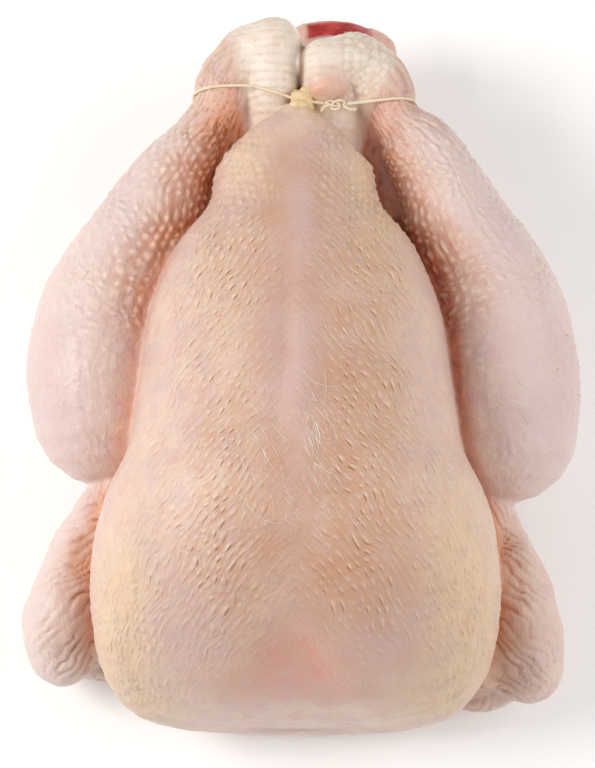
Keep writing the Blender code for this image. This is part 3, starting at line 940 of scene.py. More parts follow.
class Graph:
    """A short way to write node trees."""

    def __init__(self, tree: bpy.types.NodeTree) -> None:
        self.tree = tree

    def node(self, kind: str, inputs: dict | None = None, **settings) -> bpy.types.Node:
        """Adds a node, sets its properties, and links or sets its inputs.

        Args:
            kind: the node's type.
            inputs: input name or number to a value or to another node's output.
            settings: the node's own properties.

        Returns:
            The node.
        """
        made = self.tree.nodes.new(kind)
        for key, value in settings.items():
            setattr(made, key, value)
        self.fill(made, inputs or {})
        return made

    def fill(self, node: bpy.types.Node, inputs: dict) -> None:
        """Links or sets a node's inputs, each given by its name or number."""
        for key, value in inputs.items():
            socket = node.inputs[key]
            if isinstance(value, Socket):
                self.tree.links.new(value, socket)
            else:
                socket.default_value = value

    def math(self, operation: str, a: Socket | float, b: Socket | float = 0.0) -> Socket:
        """One sum on one or two values."""
        return self.node("ShaderNodeMath", {0: a, 1: b}, operation=operation).outputs[0]

    def times(self, *values: Socket | float) -> Socket:
        """The values multiplied together."""
        return reduce(lambda a, b: self.math("MULTIPLY", a, b), values)

    def plus(self, *values: Socket | float) -> Socket:
        """The values added up."""
        return reduce(lambda a, b: self.math("ADD", a, b), values)

    def less(self, *values: Socket | float) -> Socket:
        """The first value less the others."""
        return reduce(lambda a, b: self.math("SUBTRACT", a, b), values)

    def fraction(self, value: Socket) -> Socket:
        """What a value has after its whole number."""
        return self.math("FRACT", value)

    def weighed(self, a: Socket, of_a: float, b: Socket, of_b: float, more: float = 0.0) -> Socket:
        """Two values added up by their weights, and a number more."""
        return self.plus(self.times(a, of_a), self.times(b, of_b), more)

    def length(self, a: Socket, b: Socket) -> Socket:
        """The length of a vector of two values."""
        return self.math("SQRT", self.plus(self.times(a, a), self.times(b, b)))

    def mix(self, share: Socket | float, a: Socket | tuple, b: Socket | tuple) -> Socket:
        """One colour turned into another by a share."""
        made = self.node("ShaderNodeMix", {0: share, 6: a, 7: b}, data_type="RGBA", clamp_factor=True)
        return made.outputs[2]

    def layers(self, colour: Socket | tuple, coats: tuple) -> Socket:
        """A colour with others laid over it, each by its share."""
        for share, coat in coats:
            colour = self.mix(share, colour, coat)
        return colour

    def stored(self, name: str) -> tuple:
        """The three channels and the alpha of a colour that the mesh stores."""
        kept = self.node("ShaderNodeAttribute", attribute_name=name)
        split = self.node("ShaderNodeSeparateColor", {0: kept.outputs["Color"]})
        return (*split.outputs[:3], kept.outputs["Alpha"])

    def ramp(self, value: Socket, low: float, high: float, start: float = 0.0, end: float = 1.0) -> Socket:
        """Eases a value from start to end while it goes from low to high."""
        inputs = {"Value": value, 1: low, 2: high, 3: start, 4: end}
        made = self.node("ShaderNodeMapRange", inputs, interpolation_type="SMOOTHSTEP")
        return made.outputs[0]

    def noise(self, vector: Socket, scale: float, detail: float = 3.0, rough: float = 0.55) -> Socket:
        """Soft random values about 0.5."""
        inputs = {"Vector": vector, "Scale": scale, "Detail": detail, "Roughness": rough}
        return self.node("ShaderNodeTexNoise", inputs).outputs["Fac"]


def group(name: str, inputs: dict[str, str], outputs: dict[str, str], kind: str = "ShaderNodeTree") -> tuple:
    """Starts a node group with named inputs and outputs.

    Args:
        name: the group's name.
        inputs: input name to its socket type.
        outputs: output name to its socket type.
        kind: shader or geometry tree.

    Returns:
        The graph, the input node and the output node.
    """
    tree = bpy.data.node_groups.new(name, kind)
    for direction, sockets in (("INPUT", inputs), ("OUTPUT", outputs)):
        for label, socket in sockets.items():
            tree.interface.new_socket(label, in_out=direction, socket_type=socket)
    graph = Graph(tree)
    return graph, graph.node("NodeGroupInput"), graph.node("NodeGroupOutput")


def look(name: str) -> tuple:
    """Starts a material.

    Args:
        name: the material's name.

    Returns:
        The material, its graph, its shader and the place on the object.
    """
    made = bpy.data.materials.new(name)
    made.use_nodes = True
    g = Graph(made.node_tree)
    return made, g, made.node_tree.nodes["Principled BSDF"], g.node("ShaderNodeTexCoord").outputs["Object"]


def grown(g: Graph, geometry: Socket, start: bpy.types.Node, end: bpy.types.Node) -> None:
    """Ends a geometry group: the pieces are made real and take the finish."""
    real = g.node("GeometryNodeRealizeInstances", {"Geometry": geometry}).outputs[0]
    done = g.node("GeometryNodeSetMaterial", {"Geometry": real, "Material": start.outputs["Finish"]})
    g.fill(end, {0: done.outputs[0]})


FLOAT, VECTOR, GEOMETRY = "NodeSocketFloat", "NodeSocketVector", "NodeSocketGeometry"
WHOLE, MATERIAL = "NodeSocketInt", "NodeSocketMaterial"
MOST = (0.3, 0.7)  # where most values of a soft noise lie


def feather_group() -> bpy.types.NodeTree:
    """Round raised follicles and long pits on a staggered lattice."""
    outputs = {"Bump": FLOAT, "Dash": FLOAT, "Rim": FLOAT, "Chance": FLOAT}
    g, start, end = group("FeatherLattice", {"Lattice": VECTOR}, outputs)
    split = g.node("ShaderNodeSeparateXYZ", {0: start.outputs[0]})
    u, v = split.outputs[0], split.outputs[1]
    row = g.math("FLOOR", v)
    shifted = g.plus(u, g.times(g.math("FLOORED_MODULO", row, 2.0), 0.5))
    column = g.math("FLOOR", shifted)
    a, b = (g.fraction(g.weighed(column, m[0], row, m[1], m[2])) for m in CELL_MIX)
    first, second = (g.fraction(g.weighed(a, m[0], b, m[1])) for m in OFFSET_MIX)
    chance = g.fraction(g.weighed(first, CHANCE_MIX[0], second, CHANCE_MIX[1]))
    off_u, off_v = (g.times(g.less(r, 0.5), JITTER) for r in (first, second))
    radius = g.less(0.5, g.math("MAXIMUM", g.math("ABSOLUTE", off_u), g.math("ABSOLUTE", off_v)))
    du, dv = (
        g.math("DIVIDE", g.less(place, cell, 0.5, off), radius)
        for place, cell, off in ((shifted, column, off_u), (v, row, off_v))
    )
    pit = g.length(g.plus(du, PIT_OFF[0]), g.math("DIVIDE", g.plus(dv, PIT_OFF[1]), PIT_WIDTH))
    ridge = g.length(
        g.math("DIVIDE", du, RIDGE_SIZE[0]), g.math("DIVIDE", g.less(dv, RIDGE_OFF), RIDGE_SIZE[1])
    )
    values = {
        "Bump": g.ramp(g.length(du, dv), 1.15, 0.1),
        "Dash": g.ramp(pit, 1.2, 0.3),
        "Rim": g.ramp(ridge, 1.0, 0.0),
        "Chance": chance,
    }
    g.fill(end, values)
    return g.tree


@dataclass(frozen=True)
class SkinFinish:
    """The colours and gloss of raw skin."""

    base: tuple = srgb(226, 194, 182)
    cream: tuple = srgb(232, 206, 188)
    rose: tuple = srgb(222, 174, 160)
    outer: tuple = srgb(236, 214, 208)
    # tan is partly the skin's own tone and partly painted shade
    tan: tuple = srgb(204, 154, 126)
    amber: tuple = srgb(212, 158, 112)
    pale: tuple = srgb(250, 228, 206)
    fat: tuple = srgb(234, 204, 168)
    lilac: tuple = srgb(214, 184, 184)
    flush: tuple = srgb(226, 160, 142)
    # Painted shade: orange in the creases, dark red in the deepest, streaked with a vein red
    crease_shade: tuple = srgb(234, 148, 96)
    deep: tuple = srgb(152, 68, 46)
    vein: tuple = srgb(206, 116, 76)
    pit: tuple = srgb(172, 106, 66)
    # painted shade in the hollows of wrinkles, folds and grooves and between the legs' bumps
    wrinkle: tuple = srgb(176, 98, 50)
    seam: tuple = srgb(200, 168, 136)
    # painted shade in the parting between the hocks
    parting: tuple = srgb(124, 84, 48)
    scale: tuple = srgb(244, 230, 217)
    scale_seam: tuple = srgb(235, 215, 197)
    raw: tuple = srgb(166, 22, 26)
    raw_pale: tuple = srgb(198, 66, 60)
    roughness: float = 0.43
    subsurface: float = 0.09
    subsurface_radius: tuple = (1.0, 0.38, 0.22)
    subsurface_scale: float = 0.003
    coat: float = 0.14

    def material(self) -> bpy.types.Material:
        """The skin's material, led by the shares that the mesh stores."""
        made, g, shader, point = look("raw_skin_look")
        values = self.values(g, point)
        relief = {"Height": self.heights(g, values, point), "Strength": 1.0, "Distance": MILLIMETRE}
        g.fill(
            shader,
            {
                "Base Color": self.colour(g, values),
                "Roughness": g.ramp(values["fine"], *MOST, self.roughness - 0.08, self.roughness + 0.10),
                "Normal": g.node("ShaderNodeBump", relief).outputs[0],
                "Subsurface Weight": self.subsurface,
                "Subsurface Radius": self.subsurface_radius,
                "Subsurface Scale": self.subsurface_scale,
                "Coat Weight": self.coat,
                "Coat Roughness": 0.22,
            },
        )
        return made

    @staticmethod
    def values(g: Graph, point: Socket) -> dict[str, Socket]:
        """The values that the skin's colour and relief are mixed by.

        Args:
            g: the material's graph.
            point: the place on the object.

        Returns:
            The shares that the mesh stores, the follicles and the noises, by name.
        """
        v = {key: value for name, keys in STORED.items() for key, value in zip(keys, g.stored(name))}
        lattice = g.node("ShaderNodeAttribute", attribute_name="lattice").outputs["Vector"]
        feather = g.node("ShaderNodeGroup", {0: lattice}, node_tree=feather_group()).outputs
        rows = g.node("ShaderNodeVectorMath", {0: lattice, 1: (0.5, 2.2, 1.0)}, operation="MULTIPLY")
        v["grain"] = g.plus(g.times(g.less(g.noise(rows.outputs[0], 1.0, 4), 0.5), v["whole"]), 0.5)
        v["tone"] = g.noise(point, 60, 4)
        v["blotch"] = g.noise(point, 170, 5, 0.6)
        v["patch"] = g.noise(point, 110, 3)
        v["fine"] = g.noise(point, 900, 4)
        v["chance"] = feather["Chance"]
        v["bump"] = g.times(feather["Bump"], v["bumps"])
        v["slit"] = g.times(feather["Dash"], v["dashes"], g.ramp(v["chance"], 0.3, 0.9, 0.2, 0.95))
        v["rim"] = g.times(feather["Rim"], v["dashes"], g.ramp(v["chance"], 0.1, 0.9, 0.4, 0.9))
        v["around"] = g.times(g.less(1.0, feather["Rim"]), g.times(v["dashes"], 0.5))
        return v

    def colour(self, g: Graph, v: dict[str, Socket]) -> Socket:
        """The skin's colour, laid on coat by coat."""
        tone, blotch, grain = v["tone"], v["blotch"], v["grain"]
        tints = (
            (g.ramp(tone, *MOST), self.cream),
            (g.times(g.ramp(v["patch"], 0.46, 0.64), 0.55), self.lilac),
            (g.times(g.ramp(blotch, 0.52, 0.68), 0.5), self.rose),
            (g.times(v["outer"], g.ramp(tone, *MOST, 0.95, 0.7)), self.outer),
            (g.times(v["tan"], g.ramp(tone, *MOST, 0.6, 1.0)), self.tan),
            (g.times(v["fat"], g.ramp(blotch, 0.3, 0.65, 0.5, 1.0)), self.fat),
            (g.times(v["lilac"], 0.6), self.lilac),
            (g.times(v["flush"], g.ramp(blotch, *MOST, 0.6, 1.0)), self.flush),
            # The orange crease, the brown hollows and the dark red deep coats are painted shade.
            (g.times(v["crease_shade"], g.ramp(grain, *MOST, 0.45, 1.0)), self.crease_shade),
            (g.times(v["hollow"], g.weighed(v["crease_shade"], 0.5, v["tan"], 0.5, 0.32)), self.wrinkle),
            (v["deep"], g.mix(g.ramp(grain, 0.4, 0.65), self.deep, self.vein)),
        )
        colour = g.layers(self.base, tints)
        top = g.times(v["bump"], g.ramp(v["chance"], 0.1, 0.9, 0.3, 0.9))
        colour = g.mix(top, colour, g.mix(0.3, colour, self.pale))
        colour = g.mix(v["rim"], colour, g.mix(0.6, colour, self.pale))
        scales = (
            (g.times(v["hollow"], 0.7), self.seam),
            (g.times(v["flush"], 0.8), self.flush),
            (g.times(v["fat"], 0.8), self.fat),
        )
        marks = (
            (g.times(v["around"], g.ramp(grain, 0.65, 0.4)), self.amber),
            (v["slit"], self.pit),
            (v["scale"], g.layers(g.mix(g.ramp(blotch, 0.4, 0.7), self.scale, self.scale_seam), scales)),
            # painted shade in the parting between the hocks
            (g.times(v["seam"], 0.85), self.parting),
            (v["raw"], g.mix(g.ramp(blotch, 0.35, 0.65), self.raw, self.raw_pale)),
        )
        return g.layers(colour, marks)

    @staticmethod
    def heights(
        g: Graph, v: dict[str, Socket], point: Socket
    ) -> Socket:
        """The fine relief that is left to the shading, in mm."""
        cells = g.node("ShaderNodeTexVoronoi", {"Vector": point, "Scale": 1100.0}, feature="DISTANCE_TO_EDGE")
        return g.plus(
            g.times(v["bump"], 0.28),
            g.times(v["rim"], 0.24),
            g.times(v["slit"], -0.10),
            g.times(v["grain"], v["dashes"], 0.5),
            g.times(g.noise(point, 420, 5, 0.6), 0.34),
            g.times(v["grain"], g.ramp(v["bumps"], 0.0, 0.6, 0.35, 0.6)),
            g.times(v["fine"], 0.10),
            g.times(g.ramp(cells.outputs[0], 0.0, 0.25), 0.05),
        )


# Where the loop of string crosses the bird, seen from above, in mm
TIE_LINE = (
    (-42.0, 101.2),
    (-21.4, 101.8),
    (-16.7, 101.5),
    (-9.0, 99.3),
    (-2.0, 96.8),
    (12.0, 94.5),
    (17.0, 95.2),
    (27.0, 96.4),
    (43.0, 98.8),
)


def hull(points: list[tuple[float, float]]) -> list[tuple[float, float]]:
    """The outline of a taut loop round points in a plane, running one way round."""
    points = sorted(set(points))
    halves = []
    for run in (points, points[::-1]):
        chain: list[tuple[float, float]] = []
        for p in run:
            while len(chain) > 1:
                (ax, ay), (bx, by) = chain[-2], chain[-1]
                if (bx - ax) * (p[1] - ay) - (by - ay) * (p[0] - ax) > 0:
                    break
                chain.pop()
            chain.append(p)
        halves += chain[:-1]
    return halves


def plain(obj: bpy.types.Object) -> None:
    """Turns what the modifiers make into the object's own closed mesh, its faces outwards."""
    apply_modifiers(obj)
    shell_mesh = bmesh.new()
    shell_mesh.from_mesh(obj.data)
    bmesh.ops.remove_doubles(shell_mesh, verts=shell_mesh.verts, dist=0.000002)
    bmesh.ops.recalc_face_normals(shell_mesh, faces=shell_mesh.faces)
    shell_mesh.to_mesh(obj.data)
    shell_mesh.free()
    obj.data.shade_smooth()


def polyline(name: str, runs: list[np.ndarray], closed: bool = False) -> bpy.types.Object:
    """An object of bare edges along each run of places, given in mm where the forms are drawn."""
    verts: list = []
    edges: list = []
    for run in runs:
        start = len(verts)
        verts += [tuple(p) for p in (run + (*CENTRE_SHIFT, 0)) * MILLIMETRE]
        edges += [(start + i, start + i + 1) for i in range(len(run) - 1)]
        if closed:
            edges.append((len(verts) - 1, start))
    mesh = bpy.data.meshes.new(name)
    mesh.from_pydata(verts, edges, [])
    obj = bpy.data.objects.new(name, mesh)
    bpy.context.scene.collection.objects.link(obj)
    return obj


def run_nodes(obj: bpy.types.Object, tree: bpy.types.NodeTree, **values) -> None:
    """Runs a geometry group on an object with its inputs set by name, and keeps the result."""
    made = obj.modifiers.new("grow", "NODES")
    made.node_group = tree
    for item in tree.interface.items_tree:
        word = item.name.lower().replace(" ", "_")
        if item.in_out == "INPUT" and word in values:
            made[item.identifier] = values[word]
    plain(obj)


def cord_group() -> bpy.types.NodeTree:
    """Plies wound round each other along bare edges."""
    inputs = {"Path": GEOMETRY, "Plies": WHOLE, "Ply Radius": FLOAT, "Lay Radius": FLOAT, "Pitch": FLOAT}
    inputs["Finish"] = MATERIAL
    g, start, end = group("TwistedCord", inputs, {"Cord": GEOMETRY}, "GeometryNodeTree")
    given = start.outputs
    curve = g.node("GeometryNodeMeshToCurve", {"Mesh": given["Path"]}).outputs[0]
    plies = {"Geometry": curve, "Amount": given["Plies"]}
    copies = g.node("GeometryNodeDuplicateElements", plies, domain="SPLINE").outputs
    turns = g.math("DIVIDE", g.node("GeometryNodeSplineParameter").outputs["Length"], given["Pitch"])
    share = g.math("DIVIDE", copies["Duplicate Index"], given["Plies"])
    lay = {
        "Vector": g.node("GeometryNodeInputNormal").outputs[0],
        "Axis": g.node("GeometryNodeInputTangent").outputs[0],
        "Angle": g.times(g.plus(turns, share), 2 * math.pi),
    }
    turned = g.node("ShaderNodeVectorRotate", lay, rotation_type="AXIS_ANGLE").outputs[0]
    offset = g.node("ShaderNodeVectorMath", {0: turned, "Scale": given["Lay Radius"]}, operation="SCALE")
    moved = {"Geometry": copies["Geometry"], "Offset": offset.outputs[0]}
    wound = g.node("GeometryNodeSetPosition", moved).outputs[0]
    ring = g.node("GeometryNodeCurvePrimitiveCircle", {"Resolution": 7, "Radius": given["Ply Radius"]})
    swept = {"Curve": wound, "Profile Curve": ring.outputs[0], "Fill Caps": True}
    grown(g, g.node("GeometryNodeCurveToMesh", swept).outputs[0], start, end)
    return g.tree


@dataclass(frozen=True)
class StringFinish:
    """The colours of cream elastic string."""

    light: tuple = srgb(248, 236, 212)
    dark: tuple = srgb(222, 194, 152)
    roughness: float = 0.7

    def material(self) -> bpy.types.Material:
        """The string's material: fine fibres along the plies, a little stained."""
        made, g, shader, point = look("elastic_string_look")
        fibre = g.noise(point, 3200, 3, 0.7)
        stains = (
            (g.ramp(g.noise(point, 160, 3), 0.4, 0.7, 0.1, 0.6), self.dark),
            (g.ramp(fibre, 0.45, 0.7, 0.0, 0.4), self.dark),
        )
        relief = {"Height": fibre, "Strength": 0.6, "Distance": 0.1 * MILLIMETRE}
        g.fill(
            shader,
            {
                "Base Color": g.layers(self.light, stains),
                "Roughness": g.ramp(fibre, *MOST, self.roughness - 0.1, self.roughness + 0.1),
                "Normal": g.node("ShaderNodeBump", relief).outputs[0],
            },
        )
        return made


@dataclass
class Tie:
    """The loop of elastic string round the hocks, with its knot and cut ends, in mm."""

    diameter: float = 1.25
    plies: int = 3
    pitch: float = 3.4
    press: float = 0.25
    lowest: float = 50.0
    knot_at: float = 12.0
    knot_size: tuple[float, float, float] = (1.15, 0.62, 0.5)
    knot_rise: float = 1.1
    thinner: float = 0.8  # the knot and the cut ends against the loop
    ply: float = 0.52  # a ply's radius against the string's; the plies run round its middle at the rest
    route: np.ndarray = field(init=False)

    def lay(self, skin: np.ndarray, steps: int = 300) -> None:
        """Lays the loop taut over the skin, and keeps its route."""
        line = np.array(TIE_LINE)
        crossed = np.abs(skin[:, 1] - np.interp(skin[:, 0], line[:, 0], line[:, 1])) < 0.7
        near = skin[crossed & (skin[:, 2] > self.lowest)]
        loop = np.array(hull([(float(x), float(z)) for x, _, z in near]))
        loop = np.vstack([loop, loop[:1]])
        run = np.concatenate([[0], np.cumsum(np.linalg.norm(np.diff(loop, axis=0), axis=1))])
        at = np.linspace(0, run[-1], steps, endpoint=False)
        x, z = (np.interp(at, run, loop[:, i]) for i in (0, 1))
        for _ in range(30):
            x, z = ((np.roll(c, 1) + 2 * c + np.roll(c, -1)) / 4 for c in (x, z))
        lean = np.stack([np.roll(z, -1) - np.roll(z, 1), np.roll(x, 1) - np.roll(x, -1)])
        lean /= np.linalg.norm(lean, axis=0)
        out = self.diameter / 2 - self.press
        x, z = x + lean[0] * out, z + lean[1] * out
        self.route = np.stack([x, np.interp(x, line[:, 0], line[:, 1]), z], axis=1)

    def groove(self, skin: np.ndarray, reach: float = 0.35) -> np.ndarray:
        """Moves the skin's points out of the string's way, so that it lies in a shallow groove."""
        moved = skin.copy()
        near = np.nonzero((np.abs(skin[:, 1] - 98) < 12) & (skin[:, 2] > self.lowest - 5))[0]
        away = skin[near, None, :] - self.route[None, :, :]
        distance = np.linalg.norm(away, axis=2)
        closest = np.argmin(distance, axis=1)
        off = away[np.arange(len(near)), closest]
        gap = distance[np.arange(len(near)), closest]
        keep = self.diameter / 2 + reach
        push = np.maximum(keep - gap, 0) / np.maximum(gap, 0.05)
        moved[near] += off * push[:, None]
        return moved

    def build(self) -> list[bpy.types.Object]:
        """Winds the plies along the loop, the knot and the two cut ends."""
        finish = StringFinish().material()
        tree = cord_group()
        over = self.route[self.route[:, 2] > self.lowest + 10]
        middle = over[np.argmin(np.abs(over[:, 0] - self.knot_at))] + (0, 0, self.knot_rise)
        total = np.linalg.norm(np.roll(self.route, -1, axis=0) - self.route, axis=1).sum()
        turn = np.linspace(0, 2 * math.pi, 120, endpoint=False)
        across, along = np.sin(turn) + 2 * np.sin(2 * turn), np.cos(turn) - 2 * np.cos(2 * turn)
        trefoil = np.stack([across, along, -np.sin(3 * turn)], axis=1)
        knot = middle + trefoil * self.knot_size
        t = np.linspace(0, 1, 30)[:, None]
        ends = [
            middle + (2.6, -0.4, 0.1) + t * (4.6, -1.5, -0.2) + np.sin(math.pi * t) * (0, -0.8, 0.5),
            middle + (-2.4, -0.5, 0.1) + t * (-2.6, -2.2, -0.4) + np.sin(math.pi * t) * (-0.5, 0.4, 0.4),
        ]
        pieces = []
        for name, runs, closed, length in (
            ("tie_loop", [self.route], True, total),
            ("tie_knot", [knot], True, 40.0),
            ("tie_ends", ends, False, 5.0),
        ):
            cord = polyline(name, runs, closed)
            radius = self.diameter / 2 * (1.0 if name == "tie_loop" else self.thinner)
            pitch = length / max(1, round(length / self.pitch))
            run_nodes(
                cord,
                tree,
                plies=self.plies,
                ply_radius=radius * self.ply * MILLIMETRE,
                lay_radius=radius * (1 - self.ply) * MILLIMETRE,
                pitch=pitch * MILLIMETRE,
                finish=finish,
            )
            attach(cord, "root")
            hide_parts("truss_string")
            LOG.info("%s: %d faces", cord.name, len(cord.data.polygons))
            pieces.append(cord)
        return pieces


def hair_group() -> bpy.types.NodeTree:
    """Thin tapering strands along bare edges."""
    inputs = {"Paths": GEOMETRY, "Root Radius": FLOAT, "Finish": MATERIAL}
    g, start, end = group("FineHairs", inputs, {"Hairs": GEOMETRY}, "GeometryNodeTree")
    curve = g.node("GeometryNodeMeshToCurve", {"Mesh": start.outputs["Paths"]}).outputs[0]
    factor = g.node("GeometryNodeSplineParameter").outputs["Factor"]
    taper = g.math("MULTIPLY", start.outputs["Root Radius"], g.ramp(factor, 0.2, 1.0, 1.0, 0.3))
    sized = g.node("GeometryNodeSetCurveRadius", {"Curve": curve, "Radius": taper})
    ring = g.node("GeometryNodeCurvePrimitiveCircle", {"Resolution": 5, "Radius": 1.0})
    swept = g.node(
        "GeometryNodeCurveToMesh",
        {"Curve": sized.outputs[0], "Profile Curve": ring.outputs[0], "Scale": taper, "Fill Caps": True},
    )
    grown(g, swept.outputs[0], start, end)
    return g.tree


@dataclass(frozen=True)
class HairFinish:
    """Pale, nearly clear hair, a little darker in places."""

    pale: tuple = srgb(250, 240, 228)
    root: tuple = srgb(226, 196, 160)

    def material(self) -> bpy.types.Material:
        """The hairs' material."""
        made, g, shader, point = look("fine_hair_look")
        g.fill(
            shader,
            {
                "Base Color": g.mix(g.ramp(g.noise(point, 240, 3), 0.4, 0.7), self.pale, self.root),
                "Roughness": g.ramp(g.noise(point, 900, 3), *MOST, 0.3, 0.5),
            },
        )
        return made


@dataclass
class Drop:
    """Finds the bird's skin under places seen from above."""

    bird: bpy.types.Object
    start: float = 200.0  # the height that the drop falls from, in mm
    tree: BVHTree = field(init=False)

    def __post_init__(self) -> None:
        verts = [v.co for v in self.bird.data.vertices]
        self.tree = BVHTree.FromPolygons(verts, [p.vertices for p in self.bird.data.polygons])

    def under(self, x: float, y: float) -> tuple[Vector | None, Vector | None]:
        """The skin under a place given in mm where the forms are drawn.

        Returns:
            The highest point of the skin there, in metres about the bird's middle, and the way that
            it faces, or nothing where the drop misses the bird.
        """
        above = Vector((x + CENTRE_SHIFT[0], y + CENTRE_SHIFT[1], self.start)) * MILLIMETRE
        return self.tree.ray_cast(above, Vector((0, 0, -1)))[:2]


# Where fine hairs grow: place seen from above, spread, heading in degrees, usual length, number
HAIR_PATCHES = (
    ((-16, -38), (7, 16), -62, 15.0, 18),
    ((3, -30), (5, 14), -66, 17.0, 22),
    ((-2, -55), (14, 10), -50, 12.0, 16),
    ((74, -14), (9, 12), -58, 7.0, 9),
    ((62, 20), (8, 14), -60, 6.0, 7),
    ((-66, 30), (9, 18), -120, 5.0, 8),
    ((34, -60), (14, 12), -44, 6.0, 6),
)


@dataclass
class Hairs:
    """The few fine hairs that lie wet on the skin, in mm."""

    radius: float = 0.10
    lift: float = 0.10
    bend: float = 26.0
    step: float = 0.8
    seed: int = 11

    def build(self, bird: bpy.types.Object) -> bpy.types.Object:
        """Lays each hair over the skin along a bent line, and gives it its taper."""
        drop = Drop(bird)
        chance = np.random.default_rng(self.seed)
        runs = []
        for (x, y), (across, along), heading, length, count in HAIR_PATCHES:
            for _ in range(count):
                place = np.array((x, y)) + chance.normal(size=2) * (across, along) * 0.6
                turn = math.radians(heading + chance.normal() * 7)
                curl = math.radians(self.bend) * chance.normal() / 10
                runs.append(self.strand(drop, place, turn, curl, length * (0.6 + 0.8 * chance.random())))
        hairs = polyline("fine_hairs", [run for run in runs if len(run) > 3])
        run_nodes(hairs, hair_group(), root_radius=self.radius * MILLIMETRE, finish=HairFinish().material())
        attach(hairs, "root")
        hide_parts("chicken")
        LOG.info("%s: %d strands, %d faces", hairs.name, len(runs), len(hairs.data.polygons))
        return hairs

    def strand(self, drop: Drop, place: np.ndarray, turn: float, curl: float, length: float) -> np.ndarray:
        """The places along one hair, each on the skin below a bent line seen from above.

        Args:
            drop: finds the skin.
            place: where the hair is rooted, seen from above, in mm.
            turn: the way it heads, in radians.
            curl: how much it turns at each step, in radians.
            length: how long it is, in mm.

        Returns:
            The places, in mm where the forms are drawn.
        """
        run = []
        for _ in range(int(length / self.step)):
            hit, normal = drop.under(*place)
            if hit is None:
                break
            at = hit / MILLIMETRE + normal * self.lift
            run.append((at.x - CENTRE_SHIFT[0], at.y - CENTRE_SHIFT[1], at.z))
            place = place + np.array((math.cos(turn), math.sin(turn))) * self.step
            turn += curl
        return np.array(run)


@dataclass(frozen=True)
class FatFinish:
    """Wet yellow fat."""

    light: tuple = srgb(242, 220, 180)
    dark: tuple = srgb(230, 194, 138)
    roughness: float = 0.3

    def material(self) -> bpy.types.Material:
        """The fat's material."""
        made, g, shader, point = look("fat_look")
        grain = g.noise(point, 1500, 4, 0.6)
        cloud = g.ramp(g.noise(point, 420, 4), 0.38, 0.66)
        relief = {"Height": grain, "Strength": 0.5, "Distance": 0.4 * MILLIMETRE}
        g.fill(
            shader,
            {
                "Base Color": g.mix(cloud, self.light, self.dark),
                "Roughness": g.ramp(grain, *MOST, self.roughness - 0.06, self.roughness + 0.12),
                "Normal": g.node("ShaderNodeBump", relief).outputs[0],
                "Subsurface Weight": 0.25,
                "Subsurface Scale": 0.002,
                "Coat Weight": 0.25,
            },
        )
        return made


@dataclass
class Fat:
    """The lobes of yellow fat between the hocks, over the string, in mm."""

    middle: tuple[float, float] = (0.4, 97.2)
    spread: tuple[float, float] = (4.0, 5.8)
    lobes: int = 70
    size: tuple[float, float] = (0.8, 1.7)
    voxel: float = 0.35
    seed: int = 5

    def build(self, bird: bpy.types.Object, tie: Tie) -> bpy.types.Object:
        """Lays the lobes over the skin and the string and joins them into one lump."""
        drop = Drop(bird)
        chance = np.random.default_rng(self.seed)
        verts: list = []
        faces: list = []
        for _ in range(self.lobes):
            off = np.clip(chance.normal(size=2), -1.3, 1.3) * np.array(self.spread) * 0.5
            x, y = np.array(self.middle) + off
            radius = chance.uniform(*self.size)
            skin = drop.under(x, y)[0].z / MILLIMETRE
            strand = np.linalg.norm(tie.route[:, :2] - (x, y), axis=1)
            top = tie.route[np.argmin(strand), 2] if strand.min() < 2.5 else skin
            height = max(skin, top) - 0.1 * radius
            ends = ((x - 0.4, y, height, radius, radius), (x + 0.4, y, height, radius, radius))
            lobe = Limb("lobe", Kind.BELLY, ends, sides=16)
            shell((lobe.rings() + (*CENTRE_SHIFT, 0)) * MILLIMETRE, verts, faces)
        mesh = bpy.data.meshes.new("hock_fat")
        mesh.from_pydata(verts, [], faces)
        fat = bpy.data.objects.new("hock_fat", mesh)
        bpy.context.scene.collection.objects.link(fat)
        remesh = fat.modifiers.new("join", "REMESH")
        remesh.mode = "VOXEL"
        remesh.voxel_size = self.voxel * MILLIMETRE
        even = fat.modifiers.new("even", "SMOOTH")
        even.iterations = 4
        plain(fat)
        fat.data.materials.append(FatFinish().material())
        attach(fat, "root")
        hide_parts("chicken")
        LOG.info("%s: %d faces", fat.name, len(fat.data.polygons))
        return fat


def quill_group() -> bpy.types.NodeTree:
    """Short blunt quills standing on points, each leaning as its point says."""
    inputs = {"Points": GEOMETRY, "Length": FLOAT, "Thickness": FLOAT, "Seed": WHOLE, "Finish": MATERIAL}
    g, start, end = group("QuillStubs", inputs, {"Quills": GEOMETRY}, "GeometryNodeTree")
    cone = g.node(
        "GeometryNodeMeshCone",
        {
            "Vertices": 9,
            "Radius Top": g.math("MULTIPLY", start.outputs["Thickness"], 0.55),
            "Radius Bottom": start.outputs["Thickness"],
            "Depth": start.outputs["Length"],
        },
    )
    facing = g.node("GeometryNodeInputNamedAttribute", {"Name": "facing"}, data_type="FLOAT_VECTOR")
    turned = g.node("FunctionNodeAlignRotationToVector", {"Vector": facing.outputs["Attribute"]}, axis="Z")
    sizes = {2: 0.55, 3: 1.15, "Seed": start.outputs["Seed"]}
    size = g.node("FunctionNodeRandomValue", sizes, data_type="FLOAT")
    points = g.node("GeometryNodeMeshToPoints", {"Mesh": start.outputs["Points"]})
    stood = g.node(
        "GeometryNodeInstanceOnPoints",
        {
            "Points": points.outputs[0],
            "Instance": cone.outputs[0],
            "Rotation": turned.outputs[0],
            "Scale": size.outputs[1],
        },
    )
    grown(g, stood.outputs[0], start, end)
    return g.tree


# Where quills were left in the skin: place, spread along each axis, in mm, and number
QUILL_PATCHES = (
    ((-86, -88, 22), (10, 14, 14), 26),
    ((82, -94, 22), (10, 14, 14), 26),
    ((-78, -20, 40), (26, 26, 26), 14),
    ((84, 0, 40), (22, 26, 26), 16),
    ((10, 134, 36), (24, 6, 10), 20),
    ((-44, 100, 62), (10, 12, 12), 10),
    ((0, 20, 4), (70, 90, 8), 34),
)


